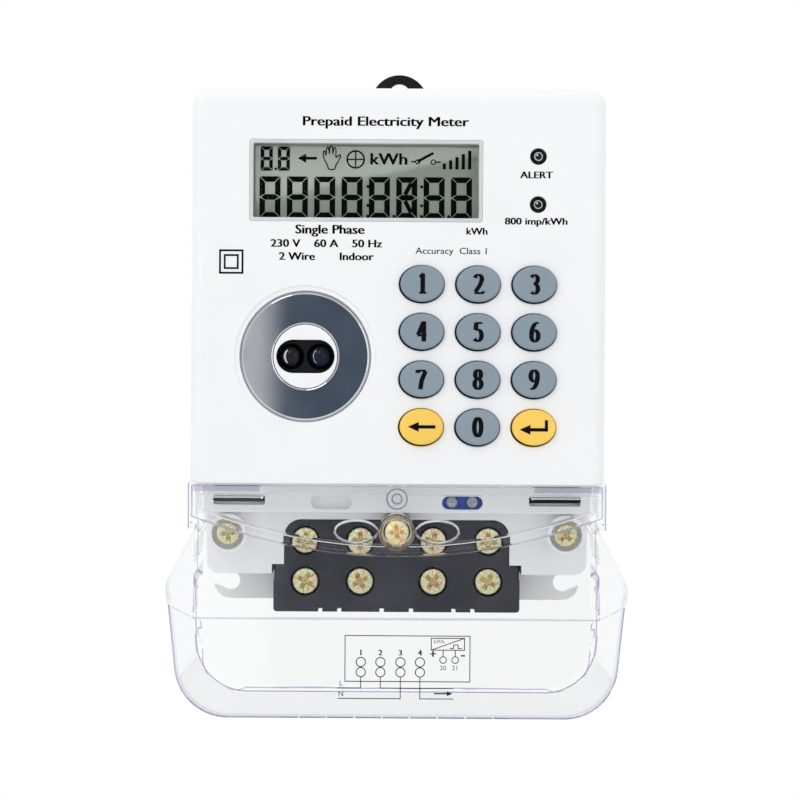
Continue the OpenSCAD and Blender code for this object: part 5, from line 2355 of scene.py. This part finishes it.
@dataclass(frozen=True)
class SoftBox:
    """A square area light that is aimed at the meter."""

    name: str
    place: tuple[float, float, float]
    power: float
    size: float = 1.0

    def build(self) -> None:
        """Puts the light in the scene."""
        light = bpy.data.lights.new(self.name, "AREA")
        light.size = self.size
        light.energy = self.power
        lamp = place_object(self.name, light)
        lamp.location = self.place
        lamp.rotation_euler = (-Vector(self.place)).to_track_quat("-Z", "Y").to_euler()


@dataclass(frozen=True)
class Viewpoint:
    """A camera straight in front of the meter."""

    lens: float = 131.5
    sensor: float = 36
    shift: Flat = (0.00275, -0.03125)
    distance: float = 0.708
    roll: float = 0.36
    nearest: float = 0.01

    def build(self) -> None:
        """Makes the camera and sets it as the scene's."""
        data = bpy.data.cameras.new("camera")
        data.lens = self.lens
        data.sensor_width = self.sensor
        data.shift_x, data.shift_y = self.shift
        data.clip_start = self.nearest
        camera = place_object("camera", data)
        camera.location = (0, -self.distance, 0)
        camera.rotation_euler = (math.pi / 2, 0, 0)
        camera.rotation_euler.rotate_axis("Z", math.radians(self.roll))
        bpy.context.scene.camera = camera


@dataclass(frozen=True)
class Floor:
    """A plain pale round floor."""

    radius: float = 1.2
    level: float = -0.3

    def build(self) -> None:
        """Makes the floor."""
        mesh = bpy.data.meshes.new("floor")
        shape = bmesh.new()
        bmesh.ops.create_circle(shape, cap_ends=True, segments=96, radius=self.radius)
        shape.to_mesh(mesh)
        shape.free()
        mesh.transform(Matrix.Translation((0, 0, self.level)))
        floor = place_object("floor", mesh)
        paint = Moulding("studio_floor", (0.86, 0.86, 0.86), 0.8, 5, 0.02, 0.01)
        floor.data.materials.append(paint.material())


@dataclass
class Surroundings:
    """A white studio with a dark gap behind the camera and the edge of a soft panel in it."""

    white: float = 0.8
    backdrop: float = 1.0
    dark: Colour = (0.085, 0.11, 0.15)
    panel: float = 2.1
    panel_side: Colour = (0.6, 0.61, 0.63)
    strip: float = 7.0
    strip_at: float = 1.1
    gap: float = 0.22
    slope: float = 0.272
    height: float = 0.0704
    left: float = -0.043

    def build(self) -> None:
        """Makes the world's nodes."""
        world = bpy.data.worlds.new("surroundings")
        world.use_nodes = True
        bpy.context.scene.world = world
        sky = Nodes(world.node_tree)
        x, y, z = sky.axes(sky.node("ShaderNodeTexCoord", {}, {}, "Generated"))
        ahead = abs(y).largest(0.001)
        across, up = x / ahead, z / ahead
        behind = (y * -1) > 0
        spread = (across * across + up * up) ** 0.5
        inside = behind * (1 - spread.within(self.gap * 0.85, self.gap))
        above = (up - across * self.slope - self.height).within(-0.001, 0.001)
        beside = (across * -1 + self.left).within(-0.004, 0.004)
        gap = sky.blend(beside, self.dark, self.panel_side)
        gap = sky.blend(above, gap, (self.panel,) * 3)
        studio_wall = sky.blend(y.within(-0.1, 0.1), (self.white,) * 3, (self.backdrop,) * 3)
        colour = sky.blend(inside, studio_wall, gap)
        strip = behind * (1 - abs(across + self.strip_at).within(0.04, 0.06)) * (1 - abs(up).within(0.5, 0.6))
        colour = sky.blend(strip, colour, (self.strip,) * 3)
        seen = sky.node("ShaderNodeLightPath", {}, {}, "Is Camera Ray")
        colour = sky.blend(seen, colour, (1, 1, 1))
        background = sky.node("ShaderNodeBackground", {}, {"Color": colour, "Strength": 1.0})
        sky.make("ShaderNodeOutputWorld", {}, {"Surface": background})


SLOT_FINISH = {
    "gasket_rubber": Finish.GASKET, "white_plastic": Finish.CASE_WHITE, "tin_metal": Finish.TIN,
    "mat_rubber": Finish.MAT, "gold_pad": Finish.GOLD, "board_green": Finish.BOARD,
    "black_plastic": Finish.BLACK, "chip_black": Finish.CHIP, "relay_blue": Finish.RELAY,
    "copper": Finish.COPPER, "capacitor_yellow": Finish.FILM_YELLOW, "sleeve_green": Finish.SHRINK_GREEN,
    "brass": Finish.BRASS, "pulse_blue": Finish.PULSE_BLUE,
}


def dress_packed_nodes() -> None:
    """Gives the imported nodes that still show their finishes."""
    for part in frame["record"]["subparts"]:
        finish = SLOT_FINISH.get(part["material_slot"])
        if finish is None:
            continue
        mesh = frame["nodes"][part["node"]].data
        mesh.materials.clear()
        mesh.materials.append(material_of(finish))
        log.info("%s is dressed in %s", part["node"], finish.name)


def all_screws() -> list[Screws]:
    """Lists the screws whose heads show.

    Returns:
        The terminal screws, the case screws and the cover's screw.
    """
    terminals = [(x, z) for z in (-38.3, -47.7) for x in (-21.1, -8.4, 8.4, 21.1)]
    corners = [(-38.8, -36.6), (38.8, -36.6)]
    return [
        Screws("terminal_screw_set", "terminal_screws", "case", Finish.ZINC, terminals, 3.1, 2.5, 28.2, 5),
        Screws("case_screw_pair", "case_screws", "case", Finish.ZINC, corners, 2.7, 1.75, 33.4, 8),
        Screws("cover_fixing_screw", "cover_screw", "cover_screw", Finish.ZINC_BRIGHT,
               [Extent.of("cover_screw").centre], 2.65, 1.8, 53.1, 2),
    ]


def main() -> None:
    """Builds the meter's looks, one sub-assembly after another."""
    logging.basicConfig(level=logging.INFO, format="%(message)s")
    Floor().build()
    Viewpoint().build()
    bpy.context.scene.view_settings.view_transform = "Standard"
    SoftBox("key_light", (-0.5, -0.9, 1.1), 5).build()
    SoftBox("fill_light", (0.9, -0.8, 0.2), 1.5).build()
    Surroundings().build()
    repeater = Repeater()
    display, lamps, port, keypad = Display(), Lamps(), OpticalPort(), Keypad()
    dress_packed_nodes()
    CaseShell().build([*display.cuts(), *lamps.cuts(), *port.cuts(), *keypad.cuts()])
    Moulded("base_tray", "base_case", "base_white", Finish.BASE_WHITE).build()
    display.build()
    lamps.build()
    port.build()
    keypad.build()
    FacePrint().build()
    Moulded("terminal_moulding", "terminal_block", "block_black", Finish.BLOCK).build()
    for screws in all_screws():
        screws.build(repeater)
    ClearCover().build()
    Hanger().build()


if __name__ == "__main__":
    main()
